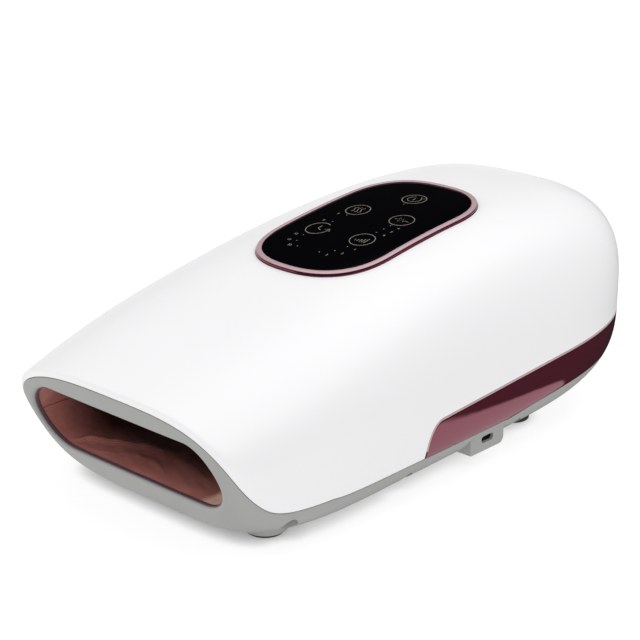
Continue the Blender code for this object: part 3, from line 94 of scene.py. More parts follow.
frontY = -casing["length"] / 2
rearY = casing["length"] / 2
frontWidth = casing["width"] - casing["frontNarrowing"]
lipSeam = casing["frontHeight"] - casing["lipBand"]
crestDistance = casing["length"] - casing["crestSetback"]
openingWidth = casing["width"] - 2 * opening["sideMargin"]
openingLevel = opening["bottom"] + opening["height"] / 2
trimY = rearY - trim["length"]
trimRiseY = rearY - trim["riseLength"]
noseEndY = trimY + trim["nose"][0]
panelY = rearY - panel["setback"]
chamberY = frontY + casing["chamberStart"]
tiny = 3e-7
solveSteps = 30
mergeDistance = 2e-6


# From 1 at the start of a taper to 0 at its end.
def closing(share, power):
    return (1 - np.clip(share, 0, 1) ** power) ** (1 / power)


def halfWidth(y, inset):
    near = np.clip(1 - (y - frontY) / casing["wideningLength"], 0, 1)
    wide = casing["width"] / 2 - casing["frontNarrowing"] / 2 * near**2 - inset
    reach, power = casing["sideTaper"]
    return wide * closing((y - rearY + reach) / (reach - inset), power)


def waist(y):
    front, rear = casing["frontWaist"], casing["rearWaist"]
    return front + (rear - front) * (y - frontY) / casing["length"]


def crown(y, inset):
    turn = math.pi / 2 * np.clip((y - frontY) / crestDistance, 0, 1)
    height = casing["frontHeight"] + (casing["crestHeight"] - casing["frontHeight"]) * np.sin(turn) - inset
    reach, power = casing["topTaper"]
    return waist(y) + (height - waist(y)) * closing((y - rearY + reach) / (reach - inset), power)


def underside(y, inset):
    reach, power = casing["bottomTaper"]
    drop = closing((y - rearY + reach) / (reach - inset), power)
    sag, run = casing["frontDrop"]
    clear = casing["floorClearance"] - sag * np.clip(1.3 - 1.3 * (y - frontY) / run, 0, 1)
    return waist(y) - (waist(y) - clear - inset) * drop


def fasciaY(z):
    drop = np.clip((lipSeam - z) / (lipSeam - opening["bottom"]), 0, None)
    return frontY + casing["fasciaLean"] * drop ** casing["fasciaPower"]


def cornerDepth(z):
    drop = np.clip((casing["frontHeight"] - z) / (casing["frontHeight"] - casing["seamLow"]), 0, None)
    sweep = frontY + casing["seamSweep"] * drop ** casing["seamPower"] - fasciaY(z)
    return casing["lipRounding"] + casing["cornerReach"] * np.clip(sweep, 0, None)


def section(points, inset):
    x, y, z = np.moveaxis(points, -1, 0)
    level = waist(y)
    above = z >= level
    front, rear = casing["topPowers"]
    power = np.where(above, front + (rear - front) * (y - frontY) / casing["length"], casing["bottomPower"])
    reach = np.where(above, crown(y, inset) - level, level - underside(y, inset))
    return x, y, z, level, power, reach


# Below one inside the casing, moved in by inset.
def hullValue(points, inset):
    x, y, z, level, power, reach = section(points, inset)
    face = fasciaY(z) + inset
    depth = cornerDepth(z)
    side = halfWidth(y, inset) * closing((face + depth - y) / depth, casing["cornerPower"])
    rounding = casing["lipRounding"]
    lift = reach * closing((face + rounding - y) / rounding, casing["cornerPower"])
    wide = np.abs(x) / np.maximum(side, tiny)
    tall = np.abs(z - level) / np.maximum(lift, tiny)
    return wide**power + tall**power


def unit(vectors):
    return vectors / np.maximum(np.linalg.norm(vectors, axis=-1, keepdims=True), tiny)


# The value between near and far at which holds turns from true to false.
def bisect(near, far, holds):
    for _ in range(solveSteps):
        middle = (near + far) / 2
        held = holds(middle)
        near = np.where(held, middle, near)
        far = np.where(held, far, middle)
    return near


# Where rays from inside meet the casing's surface, moved in by inset.
def cast(starts, directions, inset=0.0):
    directions = unit(directions)
    near = np.zeros(directions.shape[:-1] + (1,))

    def inside(reach):
        return (hullValue(starts + directions * reach, inset) < 1)[..., None]

    return starts + directions * bisect(near, near + casing["length"], inside)


def surfaceZ(x, y, way=1.0, inset=0.0):
    starts = np.stack([x, y, np.full_like(x, casing["core"])], -1)
    return cast(starts, np.broadcast_to((0.0, 0.0, way), starts.shape), inset)[..., 2]


def faceY(x, z, inset=0.0):
    starts = np.stack([x, np.full_like(x, chamberY), z], -1)
    return cast(starts, np.broadcast_to((0.0, -1.0, 0.0), starts.shape), inset)[..., 1]


def hullNormals(points):
    step = 2e-5
    slopes = []
    for axis in range(3):
        offset = np.zeros(3)
        offset[axis] = step
        slopes.append(hullValue(points + offset, 0.0) - hullValue(points - offset, 0.0))
    return unit(np.stack(slopes, -1))


def sideEdgeZ(y):
    length, height = trim["nose"]
    nose = height * np.sqrt(1 - np.clip((noseEndY - y) / length, 0, 1) ** 2)
    return casing["sideEdge"] + nose + trim["topRise"] * np.clip(y - noseEndY, 0, None)


def trimLowZ(y):
    return casing["sideEdge"] + trim["lowRise"] * np.clip(y - trimRiseY, 0, None)


# Above zero on the cover's side of its seam, in metres: the lip round the front blends into the side edge.
def coverValue(points):
    x, y, z, level, power, reach = section(points, 0)
    wide = np.abs(x) / np.maximum(halfWidth(y, 0) - casing["lipBand"], tiny)
    tall = np.abs(z - level) / np.maximum(reach - casing["lipBand"], tiny)
    lip = casing["lipScale"] * (wide**power + tall**power - 1)
    lip = lip + np.clip(y - frontY - casing["seamSweep"], 0, None)
    side = z - sideEdgeZ(y)
    low = np.minimum(lip, side)
    blend = casing["seamBlend"]
    return low - blend * np.log(np.exp((low - lip) / blend) + np.exp((low - side) / blend))


# Points round the casing in plan, from the front's middle by +X and the rear, closest at the front corners.
def planPoints(columns, finest, coarsest, growth):
    x = np.linspace(0, frontWidth / 2, 400)[:-1]
    front = np.stack([x, np.full_like(x, frontY)], 1)
    y = frontY + casing["length"] * np.sin(np.linspace(0, math.pi / 2, 2400))
    half = np.concatenate([front, np.stack([halfWidth(y, 0), y], 1)])
    steps = np.linalg.norm(np.diff(half, axis=0), axis=1)
    along = np.concatenate([[0], np.cumsum(steps)])
    corner = along[len(front)]
    nose = along[len(front)] + trimY - frontY
    reach = np.minimum(np.abs(along - corner), 2.0 * np.abs(along - nose))
    density = 1 / np.clip(finest + growth * reach, finest, coarsest)
    weight = np.concatenate([[0], np.cumsum((density[1:] + density[:-1]) / 2 * steps)])
    even = np.linspace(0, weight[-1], columns // 2 + 1)
    places = np.interp(even, weight, along)
    right = np.stack([np.interp(places, along, half[:, axis]) for axis in (0, 1)], 1)
    left = right[1:-1][::-1] * np.array([-1, 1])
    return np.concatenate([right, left])


# Points on the panel's spine, the directions in plan from them to the given points, and the rays' starts.
def fanFrom(plan):
    spine = np.zeros_like(plan)
    spine[:, 1] = panelY + np.clip(plan[:, 1] - panelY, -panel["spine"], panel["spine"])
    core = np.column_stack([spine, np.full(len(plan), casing["core"])])
    return spine, unit(plan - spine), core


# Where, going down each ray's fan from the top, value turns negative on the casing's surface.
def edgePoints(core, away, value, steps=140):
    turns = np.linspace(math.pi / 2, -math.pi / 2, steps)[1:-1]

    def onHull(turn):
        return cast(core, np.column_stack([away * np.cos(turn)[:, None], np.sin(turn)]))

    below = np.array([value(onHull(np.full(len(core), turn))) < 0 for turn in turns])
    first = below.argmax(axis=0)
    high = turns[np.maximum(first - 1, 0)]
    return onHull(bisect(high, turns[first], lambda turn: value(onHull(turn)) >= 0))


# Rows from deep in a seam, up its wall and round its softened edge on to the casing's surface.
def seamRows(edge, hint, centre, gap, radius, depth, steps, closed=True):
    normals = hullNormals(edge)
    if closed:
        along = np.roll(edge, -1, 0) - np.roll(edge, 1, 0)
    else:
        along = np.gradient(edge, axis=0)
    across = unit(np.cross(normals, along))
    across = across * np.where(np.sum(across * hint, 1, keepdims=True) < 0, -1, 1)
    gap = np.reshape(gap, (-1, 1))
    radius = np.reshape(radius, (-1, 1))

    def onSurface(reach):
        target = edge + across * reach
        return cast(centre, target - centre)

    wall = onSurface(gap)
    rows = [wall - normals * depth]
    for turn in np.linspace(math.pi / 2, 0, steps + 1):
        reach = gap + radius * (1 - math.sin(turn))
        rows.append(onSurface(reach) - normals * radius * (1 - math.cos(turn)))
    return np.array(rows)


def lerp(starts, ends, shares):
    return np.array([starts + (ends - starts) * share for share in shares])


def finishMesh(name, shape, looks, sharp=35):
    mesh = bpy.data.meshes.new(name)
    shape.to_mesh(mesh)
    shape.free()
    mesh.shade_smooth()
    if sharp:
        mesh.set_sharp_from_angle(angle=math.radians(sharp))
    made = bpy.data.objects.new(name, mesh)
    scene.collection.objects.link(made)
    for look in looks if isinstance(looks, (list, tuple)) else [looks]:
        mesh.materials.append(look)
    return made


# A create_grid sheet whose points are carried to the given places, with closed seams merged.
def gridShape(places, wrapColumns=False, wrapRows=False, bands=(), flat=None):
    places = np.asarray(places, float)
    if wrapColumns:
        places = np.concatenate([places, places[:, :1]], 1)
    if wrapRows:
        places = np.concatenate([places, places[:1]], 0)
    rows, columns = places.shape[:2]
    shape = bmesh.new()
    layer = shape.loops.layers.uv.new("weave") if flat else None
    bmesh.ops.create_grid(shape, x_segments=columns - 1, y_segments=rows - 1, size=1, calc_uvs=bool(flat))
    index = {}
    for vert in shape.verts:
        column = round((vert.co.x + 1) / 2 * (columns - 1))
        row = round((vert.co.y + 1) / 2 * (rows - 1))
        index[vert] = (row, column)
    for face in shape.faces:
        low = min(index[vert][0] for vert in face.verts)
        for start, end, slot in bands:
            if start <= low < end:
                face.material_index = slot
        if flat:
            for loop in face.loops:
                row, column = index[loop.vert]
                loop[layer].uv = (column / (columns - 1) * flat[0], row / (rows - 1) * flat[1])
    for vert, (row, column) in index.items():
        vert.co = places[row, column]
    bmesh.ops.remove_doubles(shape, verts=shape.verts, dist=mergeDistance)
    bmesh.ops.recalc_face_normals(shape, faces=shape.faces)
    return shape


def bakeModifiers(piece):
    view = bpy.context.evaluated_depsgraph_get()
    mesh = bpy.data.meshes.new_from_object(piece.evaluated_get(view))
    piece.modifiers.clear()
    old = piece.data
    piece.data = mesh
    bpy.data.meshes.remove(old)


def cutAway(piece, shapes):
    tool = finishMesh("tool", joined(shapes), [], 0)
    step = piece.modifiers.new("cut", "BOOLEAN")
    step.operation = "DIFFERENCE"
    step.solver = "EXACT"
    step.use_self = True
    step.object = tool
    bakeModifiers(piece)
    bpy.data.objects.remove(tool, do_unlink=True)
    piece.data.shade_smooth()
    piece.data.set_sharp_from_angle(angle=math.radians(35))

def joined(shapes):
    whole = bmesh.new()
    for shape in shapes:
        holder = bpy.data.meshes.new("part")
        shape.to_mesh(holder)
        shape.free()
        whole.from_mesh(holder)
        bpy.data.meshes.remove(holder)
    return whole


def filled(shape):
    bmesh.ops.holes_fill(shape, edges=[edge for edge in shape.edges if edge.is_boundary])
    bmesh.ops.recalc_face_normals(shape, faces=shape.faces)
    return shape


def shapeFromRows(rows):
    return filled(gridShape(rows, True))


# A turned solid from (radius, height) pairs spun about an upright axis.
def turnedShape(profile, centre, sides):
    shape = bmesh.new()
    points = [shape.verts.new((radius, 0, height)) for radius, height in profile]
    edges = [shape.edges.new(pair) for pair in zip(points, points[1:])]
    around = {"cent": (0, 0, 0), "axis": (0, 0, 1), "angle": 2 * math.pi, "steps": sides}
    bmesh.ops.spin(shape, geom=points + edges, use_merge=True, **around)
    bmesh.ops.remove_doubles(shape, verts=shape.verts, dist=mergeDistance)
    bmesh.ops.recalc_face_normals(shape, faces=shape.faces)
    bmesh.ops.translate(shape, verts=shape.verts, vec=centre)
    return shape


def blockShape(low, high):
    shape = bmesh.new()
    bmesh.ops.create_cube(shape, size=1)
    size = [b - a for a, b in zip(low, high)]
    bmesh.ops.scale(shape, verts=shape.verts, vec=size)
    bmesh.ops.translate(shape, verts=shape.verts, vec=[(a + b) / 2 for a, b in zip(low, high)])
    return shape


def softenEdges(shape, edges, width, segments):
    cut = {"offset": width, "segments": segments, "profile": 0.5}
    bmesh.ops.bevel(shape, geom=edges, affect="EDGES", material=-1, clamp_overlap=True, **cut)


# A curve's or text's own mesh.
def curveShape(data):
    holder = bpy.data.objects.new("lines", data)
    scene.collection.objects.link(holder)
    view = bpy.context.evaluated_depsgraph_get()
    mesh = bpy.data.meshes.new_from_object(holder.evaluated_get(view))
    shape = bmesh.new()
    shape.from_mesh(mesh)
    bpy.data.objects.remove(holder, do_unlink=True)
    bpy.data.meshes.remove(mesh)
    return shape


# Open lines of (x, y, z, radius) points as one mesh of round wires.
def wireShape(lines):
    curve = bpy.data.curves.new("wires", "CURVE")
    curve.dimensions = "3D"
    curve.bevel_depth = 1.0
    curve.bevel_resolution = 1
    curve.use_fill_caps = True
    for line in lines:
        spline = curve.splines.new("POLY")
        spline.points.add(len(line) - 1)
        for point, (x, y, z, radius) in zip(spline.points, line):
            point.co = (x, y, z, 1)
            point.radius = radius
    return curveShape(curve)


# Fixes a piece to the casing's body. A node given is the solid whose place it takes.
def attach(piece, node, slot=None):
    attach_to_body(piece, "casing")
    if node:
        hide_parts(node)
    slot or node


# A shader socket that takes part in Python sums.
class Value:

    def __init__(self, nodes, socket):
        self.nodes = nodes
        self.socket = socket

    def math(self, operation, other):
        return self.nodes.node("ShaderNodeMath", {"operation": operation}, {0: self, 1: other})

    def __add__(self, other):
        return self.math("ADD", other)

    def __sub__(self, other):
        return self.math("SUBTRACT", other)

    def __mul__(self, other):
        return self.math("MULTIPLY", other)


# A node tree, with nodes added by kind, settings and socket values.
class Nodes:

    def __init__(self, tree):
        self.tree = tree

    def node(self, kind, settings=None, values=None, output=0):
        made = self.tree.nodes.new(kind)
        for key, value in (settings or {}).items():
            setattr(made, key, value)
        for key, value in (values or {}).items():
            self.put(made.inputs[key], value)
        return Value(self, made.outputs[output])

    def put(self, socket, value):
        if isinstance(value, Value):
            self.tree.links.new(value.socket, socket)
        else:
            socket.default_value = value

    def split(self, vector):
        parts = self.node("ShaderNodeSeparateXYZ", None, {0: vector}).socket.node.outputs
        return [Value(self, part) for part in parts]

    def between(self, value, low, high, fromLow=0.0, fromHigh=1.0, curve="LINEAR"):
        inputs = {0: value, 1: fromLow, 2: fromHigh, 3: low, 4: high}
        return self.node("ShaderNodeMapRange", {"interpolation_type": curve}, inputs)


# One material with a Principled BSDF.
class Finish(Nodes):

    def __init__(self, name, **fixed):
        self.material = bpy.data.materials.new(name)
        self.material.use_nodes = True
        super().__init__(self.material.node_tree)
        self.surface = self.tree.nodes["Principled BSDF"]
        for key, value in fixed.items():
            self.surface.inputs[key].default_value = value

    def set(self, **values):
        for key, value in values.items():
            self.put(self.surface.inputs[key.replace("_", " ")], value)

    def place(self):
        return self.node("ShaderNodeTexCoord", output="Object")

    def noise(self, scale, detail=2.0, roughness=0.5, place=None):
        inputs = {"Vector": place or self.place(), "Scale": scale, "Detail": detail, "Roughness": roughness}
        return self.node("ShaderNodeTexNoise", None, inputs, "Fac")

    def blend(self, share, first, second):
        inputs = {0: share, 6: first, 7: second}
        return self.node("ShaderNodeMix", {"data_type": "RGBA"}, inputs, 2)

    def bump(self, height, distance, under=None):
        inputs = {"Height": height, "Distance": distance}
        if under:
            inputs["Normal"] = under
        return self.node("ShaderNodeBump", None, inputs)


def tone(red, green, blue):
    return (red, green, blue, 1.0)


# Moulded plastic: a slow change of colour, uneven gloss and a fine skin.
def plastic(name, first, second, rough, grain, depth, coat=0.0, specular=0.5):
    finish = Finish(name, **{"Coat Weight": coat, "Coat Roughness": 0.08, "Specular IOR Level": specular})
    slow = finish.noise(14.0, 3.0)
    fine = finish.noise(grain, 2.0)
    smudge = finish.noise(55.0, 4.0, 0.6)
    finish.set(
        Base_Color=finish.blend(slow, tone(*first), tone(*second)),
        Roughness=finish.between(smudge, rough[0], rough[1], 0.3, 0.7),
        Normal=finish.bump(fine, depth),
    )
    return finish.material


# A slow change of colour, fine scratches and, with wave, a faint unevenness of the mirrored picture.
def metal(name, first, second, rough, grain=600.0, depth=0.00001, metallic=1.0, coat=0.0, wave=0.0):
    finish = Finish(name, **{"Metallic": metallic, "Coat Weight": coat, "Coat Roughness": 0.03})
    slow = finish.noise(40.0, 3.0)
    fine = finish.noise(grain, 3.0)
    finish.set(
        Base_Color=finish.blend(slow, tone(*first), tone(*second)),
        Roughness=finish.between(fine, rough[0], rough[1], 0.3, 0.7),
        Normal=finish.bump(fine, depth, under=finish.bump(slow, wave) if wave else None),
    )
    return finish.material

# Each has two colours, a range of roughness, its skin's grain and depth, and then its coat or metallic share
whiteShell = plastic("whiteShell", (0.84, 0.84, 0.85), (0.82, 0.82, 0.83), (0.30, 0.38), 1400, 0.000004, 0.12)
greyShell = plastic("greyShell", (0.358, 0.358, 0.350), (0.338, 0.338, 0.330), (0.42, 0.52), 3200, 0.00002)
darkLip = plastic("darkLip", (0.125, 0.088, 0.110), (0.105, 0.072, 0.092), (0.45, 0.6), 2500, 0.00002)
roseMirror = metal(
    "roseMirror", (0.34, 0.062, 0.110), (0.32, 0.056, 0.100), (0.01, 0.02), 300, 0.0000004, 0.82, 1.0, 0.00005
)
# A pale copy of the trim's rose finish for its upper softened edge: a painted highlight.
roseEdgeHighlight = plastic("roseEdgeHighlight", (0.56, 0.42, 0.43), (0.50, 0.37, 0.39), (0.25, 0.35), 300, 0.000001)
# The panel ring is one rose-gold metal shown as two finishes: the dark side finish is painted shade, a painted
# reflection of dark surroundings, and the pale, less metallic top finish is a painted highlight.
ringSideShade = metal("ringSideShade", (0.25, 0.055, 0.09), (0.22, 0.045, 0.08), (0.06, 0.12), 500, 0.000001, 0.88, 0.3)
ringTopHighlight = metal("ringTopHighlight", (0.62, 0.43, 0.47), (0.57, 0.39, 0.43), (0.16, 0.24), 500, 0.000001, 0.25, 0.3)
blackGlass = plastic(
    "blackGlass", (0.0014, 0.0014, 0.0018), (0.001, 0.001, 0.0014), (0.04, 0.07), 200, 0.0000003, 0.0, 0.05
)
iconInk = plastic("iconInk", (0.27, 0.25, 0.21), (0.23, 0.215, 0.18), (0.5, 0.6), 900, 0.000002)
rubber = plastic("rubber", (0.035, 0.033, 0.034), (0.025, 0.024, 0.025), (0.7, 0.85), 1800, 0.00004)
steel = metal("steel", (0.62, 0.62, 0.63), (0.52, 0.52, 0.54), (0.22, 0.36), 900)
socketBlack = plastic("socketBlack", (0.018, 0.018, 0.018), (0.012, 0.012, 0.012), (0.3, 0.4), 900, 0.000004)
tongueGrey = plastic("tongueGrey", (0.20, 0.21, 0.20), (0.17, 0.18, 0.17), (0.4, 0.5), 900, 0.000004)
gold = metal("gold", (0.83, 0.62, 0.28), (0.78, 0.57, 0.25), (0.2, 0.3), 900)
airSkin = plastic("airSkin", (0.46, 0.49, 0.53), (0.42, 0.45, 0.49), (0.35, 0.5), 1200, 0.00001)
hoseRubber = plastic("hoseRubber", (0.66, 0.68, 0.70), (0.60, 0.62, 0.64), (0.25, 0.4), 900, 0.000004)
greenBoard = plastic("greenBoard", (0.02, 0.15, 0.07), (0.015, 0.12, 0.055), (0.3, 0.45), 700, 0.00002)
milkyGuide = plastic("milkyGuide", (0.72, 0.72, 0.72), (0.68, 0.68, 0.69), (0.35, 0.5), 900, 0.00001)
framePlastic = plastic("framePlastic", (0.58, 0.58, 0.57), (0.52, 0.52, 0.51), (0.45, 0.6), 2200, 0.00002)
platePlastic = plastic("platePlastic", (0.46, 0.46, 0.48), (0.42, 0.42, 0.44), (0.4, 0.55), 2200, 0.00002)
blackPlastic = plastic("blackPlastic", (0.045, 0.045, 0.05), (0.035, 0.035, 0.04), (0.4, 0.55), 2200, 0.00002)
heatFilm = plastic("heatFilm", (0.52, 0.27, 0.05), (0.45, 0.22, 0.04), (0.25, 0.4), 500, 0.00001, 0.3)
cellWrap = plastic("cellWrap", (0.05, 0.15, 0.42), (0.04, 0.12, 0.36), (0.25, 0.35), 400, 0.00001, 0.2)
copper = metal("copper", (0.60, 0.34, 0.20), (0.52, 0.29, 0.16), (0.25, 0.35))

# The lining's colours: the one blended in over the shade range is painted shade deep inside, the one over the
# pale patch is a painted pool of light, and the groove colour is painted shade in the weave's grooves.
cloth = {
    "main": (0.58, 0.258, 0.225), "deep": (0.42, 0.145, 0.122), "paintedLight": (0.88, 0.62, 0.51), "pitch": 0.0010,
    "pale": {"x": (0.0410, 0.0450), "y": (-0.1330, -0.1230)}, "shade": (-0.137, -0.111), "shadeShare": 0.94,
    "dark": (0.016, 0.004, 0.003), "grooveShade": (0.05, 0.012, 0.010),
}


# Satin twill on the piece's own weave map, in metres: paler at one end of the opening as a painted pool of
# light, darker further in as painted shade, and darker in the weave's grooves as painted shade.
def wovenCloth(name):
    finish = Finish(name, **{"Sheen Weight": 0.06, "Sheen Roughness": 0.4, "Specular IOR Level": 0.12})
    place = finish.place()
    slow = finish.noise(45.0, 4.0, 0.6, place)
    threads, along, _ = finish.split(finish.node("ShaderNodeUVMap", {"uv_map": "weave"}))
    sideways, inwards, _ = finish.split(place)
    turn = 2 * math.pi / cloth["pitch"]
    twill = ((along * 0.9 + threads * 0.45) * turn).math("SINE", 0)
    warp = ((threads * 1.1 - along * 0.2) * turn).math("SINE", 0)
    height = twill * 0.6 + warp * 0.3 + finish.noise(1300.0, 2.0, 0.5, place) * 0.7
    # Painted light: a pool of light painted at the right front end of the trough.
    pale = finish.between(sideways + slow * 0.003, 0.0, 0.9, *cloth["pale"]["x"])
    pale = pale * finish.between(inwards, 1.0, 0.0, *cloth["pale"]["y"])
    # Painted shade: the cloth darkens towards the blind end, where the opening's light does not reach.
    shade = finish.between(inwards + slow * 0.010, 0.0, cloth["shadeShare"], *cloth["shade"])
    # Painted shade in the weave's grooves, darkest where the height is lowest.
    grooveShade = finish.between(height, 0.35, 0.0, -0.7, 0.6)
    colour = tone(*cloth["deep"])
    patches = finish.between(slow, 0.0, 1.0, 0.3, 0.7)
    for share, other in ((patches, "main"), (shade, "dark"), (pale, "paintedLight"), (grooveShade, "grooveShade")):
        colour = finish.blend(share, colour, tone(*cloth[other]))
    rough = finish.between(slow, 0.6, 0.75)
    finish.set(Base_Color=colour, Roughness=rough, Normal=finish.bump(height, 0.00006))
    return finish.material


liningCloth = wovenCloth("liningCloth")
print("finishes made")

casingPlan = planPoints(columns=420, finest=0.0007, coarsest=0.0034, growth=0.05)
cover = {"rows": 76, "innerRows": 22, "edgeSteps": 6, "gap": 0.0001, "edge": 0.0006, "flange": 0.0018}
# Distance in plan from a point on the panel's spine to its round-ended outline, moved in by inset.
def outlineReach(starts, directions, inset):
    half, power = panel["width"] / 2 - inset, panel["power"]

    def inside(reach):
        at = starts + directions * reach[:, None]
        beyond = np.clip(np.abs(at[:, 1] - panelY) - panel["spine"], 0, None)
        return (np.abs(at[:, 0]) / half) ** power + (beyond / half) ** power < 1

    near = np.zeros(len(starts))
    return bisect(near, near + panel["length"], inside)


# The white cover: its rolled edge at the seam, the outer surface up to the panel, and the inner surface.
def makeCover():
    spine, away, core = fanFrom(casingPlan)
    edge = edgePoints(core, away, coverValue)
    reach = outlineReach(spine, away, cover["flange"])
    rim = spine + away * reach[:, None]
    high = np.column_stack([rim, surfaceZ(rim[:, 0], rim[:, 1])])
    hint = cast(core, edge + (high - edge) * 0.02 - core) - edge
    rolled = seamRows(edge, hint, core, cover["gap"], cover["edge"], casing["wall"], cover["edgeSteps"])
    shares = np.linspace(0, 1, cover["rows"]) ** 1.7
    outer = cast(core, lerp(rolled[-1], high, shares[1:]) - core)
    down = high - (0, 0, casing["wall"])
    shares = np.linspace(0, 1, cover["innerRows"]) ** 0.6
    inner = cast(core, lerp(down, rolled[0], shares) - core, casing["wall"])
    inner[0], inner[-1] = down, rolled[0]
    rows = np.concatenate([rolled, outer, inner[:-1]])
    attach(finishMesh("topShell", gridShape(rows, True, True), whiteShell, 40), "top_shell")


makeCover()
print("white cover made")

base = {
    "rows": 84, "innerRows": 40, "crowding": 2.2, "gap": 0.0001, "edge": 0.0004, "edgeSteps": 5,
    "lipDepth": 0.0034, "lipSteps": 6, "faceRun": (0.058, 0.150),
}
well = {
    "radius": 0.0038, "runs": (0.0055, 0.0039, 0.0029, 0.0), "roof": 0.0212, "step": 0.0176, "wall": 0.0012,
    "play": 0.0001, "hole": 0.0016, "below": -0.005, "skin": 0.0006,
}
rightScrews = ((0.0685, -0.123), (0.0732, -0.049), (0.0732, 0.036), (0.0732, 0.083))
screwPlaces = [(side * x, y) for side in (1, -1) for x, y in rightScrews]
port = {
    "outer": 0.082, "depth": 0.0148, "y": 0.0078, "width": 0.026, "low": 0.0081, "top": 0.0192,
    "rounding": 0.0035, "slot": (0.0092, 0.0036), "corner": 0.40, "level": 0.0142, "wall": 0.002,
}


# A point of the hand opening's outline, moved out: side runs along the straights, and turn round the ends.
def openingPoint(side, turn, outset):
    x = side * (openingWidth / 2 - opening["end"]) + (opening["end"] + outset) * np.cos(turn)
    return x, openingLevel + (opening["height"] / 2 + outset) * np.sin(turn)


# The grey shell: its lip in the opening, the outer surface back to the seam, and the inner surface.
def makeBase():
    _, away, core = fanFrom(casingPlan)

    def value(points):
        y, z = points[:, 1], points[:, 2]
        return np.where(y > trimY - tiny, z - trimLowZ(y), coverValue(points))

    edge = edgePoints(core, away, value)
    low = edge - (0, 0, 0.002)
    hint = np.where(edge[:, 2:] > 0.021, openingCentre(edge) - edge, low - edge)
    rolled = seamRows(edge, hint, core, base["gap"], base["edge"], casing["wall"], base["edgeSteps"])
    count = len(edge)
    steps = np.linalg.norm(np.diff(np.concatenate([edge, edge[:1]]), axis=0), axis=1)
    along = np.concatenate([[0], np.cumsum(steps)])[: count // 2 + 1]
    stops = [0, *base["faceRun"], along[-1]]
    turn = np.interp(along, stops, np.radians([90, 90, -90, -90]))
    straight = np.interp(along, stops, [0, 1, 1, 0])

    def mouthRow(outset, depth):
        x, z = openingPoint(straight, turn, outset)
        x = np.concatenate([x, -x[1:-1][::-1]])
        z = np.concatenate([z, z[1:-1][::-1]])
        return np.stack([x, faceY(x, z) + depth, z], 1)

    rounding = opening["edge"]
    mouth = [mouthRow(0, base["lipDepth"])]
    for turned in np.linspace(0, math.pi / 2, base["lipSteps"] + 1):
        mouth.append(mouthRow(rounding * (1 - math.cos(turned)), rounding * (1 - math.sin(turned))))
    mouth = np.array(mouth)
    shares = np.linspace(0, 1, base["rows"]) ** base["crowding"]
    outer = throwOut(lerp(mouth[-1], rolled[-1], shares[1:]), 0.0)
    shares = 1 - np.linspace(1, 0, base["innerRows"]) ** base["crowding"]
    inner = throwOut(lerp(rolled[0], mouth[0], shares), casing["wall"])
    rows = np.concatenate([mouth, outer, rolled[::-1][1:], inner[1:-1]])
    piece = finishMesh("bottomShell", gridShape(rows, True, True), greyShell, 40)
    tools = []
    for place, run in zip(screwPlaces, well["runs"] * 2):
        tools += list(wellShapes(*place, run))
    cutAway(piece, tools + [portPocket(0.004, -0.003, 0.0002)])
    attach(piece, "bottom_shell")


# The room behind the port: past its back, short of its outer face, and how far its roof lies under the wall.
def portPocket(behind, short, drop):
    half, wall = port["width"] / 2 - port["wall"], port["wall"]
    low = (port["outer"] - port["depth"] - behind, port["y"] - half, port["low"] + wall)
    return blockShape(low, (port["outer"] - short, port["y"] + half, port["top"] - wall - drop))


# A round-ended loop in plan round a screw's place, run out sideways over the bilge.
def wellLoop(x, y, radius, run, count=56):
    turn = 2 * math.pi * (np.arange(count) + 0.5) / count
    outwards = np.where(np.cos(turn) > 0, run, 0) + radius * np.cos(turn)
    return x + math.copysign(1, x) * outwards, y + radius * np.sin(turn)


# The room that a well takes from the shell: its mouth with the run-out, and its narrower top.
def wellShapes(x, y, run):
    sizes = ((well["radius"], run, well["step"]), (well["radius"] - well["play"], 0, well["roof"]))
    for radius, reach, top in sizes:
        loopX, loopY = wellLoop(x, y, radius, reach)
        levels = (np.full_like(loopX, z) for z in (well["below"], top))
        yield shapeFromRows([np.stack([loopX, loopY, level], 1) for level in levels])

# The screws' cups, each from the casing's surface up to a roof with the screw's hole in it.
def makeWells():
    inner = well["radius"] + well["play"]
    outer = well["radius"] + well["wall"]
    step, roof, wall = well["step"], well["roof"], well["wall"]
    cups = []
    for (x, y), run in zip(screwPlaces, well["runs"] * 2):
        profile = (
            (well["hole"], 0, roof), (inner, 0, roof), (inner, 0, step), (inner, run, step),
            (inner, run, None), (outer, run, None), (outer, run, step + wall), (outer, 0, step + wall),
            (outer, 0, roof + wall), (well["hole"], 0, roof + wall),
        )
        loops = []
        for radius, reach, z in profile:
            loopX, loopY = wellLoop(x, y, radius, reach)
            skin = np.minimum(surfaceZ(loopX, loopY, -1.0) + well["skin"], step - well["play"])
            loops.append(np.stack([loopX, loopY, skin if z is None else np.full_like(loopX, z)], 1))
        cups.append(gridShape(loops, True, True))
    attach(finishMesh("screwWells", joined(cups), greyShell, 40), None, "bottom_shell")

def openingCentre(points):
    centre = np.zeros_like(points)
    centre[:, 0] = np.clip(points[:, 0], -0.04, 0.04)
    centre[:, 1] = frontY
    centre[:, 2] = openingLevel
    return centre


# Targets inside the casing, carried out on to its surface.
def throwOut(targets, inset):
    core = np.zeros_like(targets)
    core[..., 1] = np.clip(targets[..., 1], chamberY + 0.010, 0.085)
    core[..., 2] = casing["core"]
    return cast(core, targets - core, inset)

makeBase()
makeWells()
print("grey shell made")

trimWork = {"gap": 0.0001, "edge": 0.0006, "edgeSteps": 4, "rows": 20, "innerRows": 6}


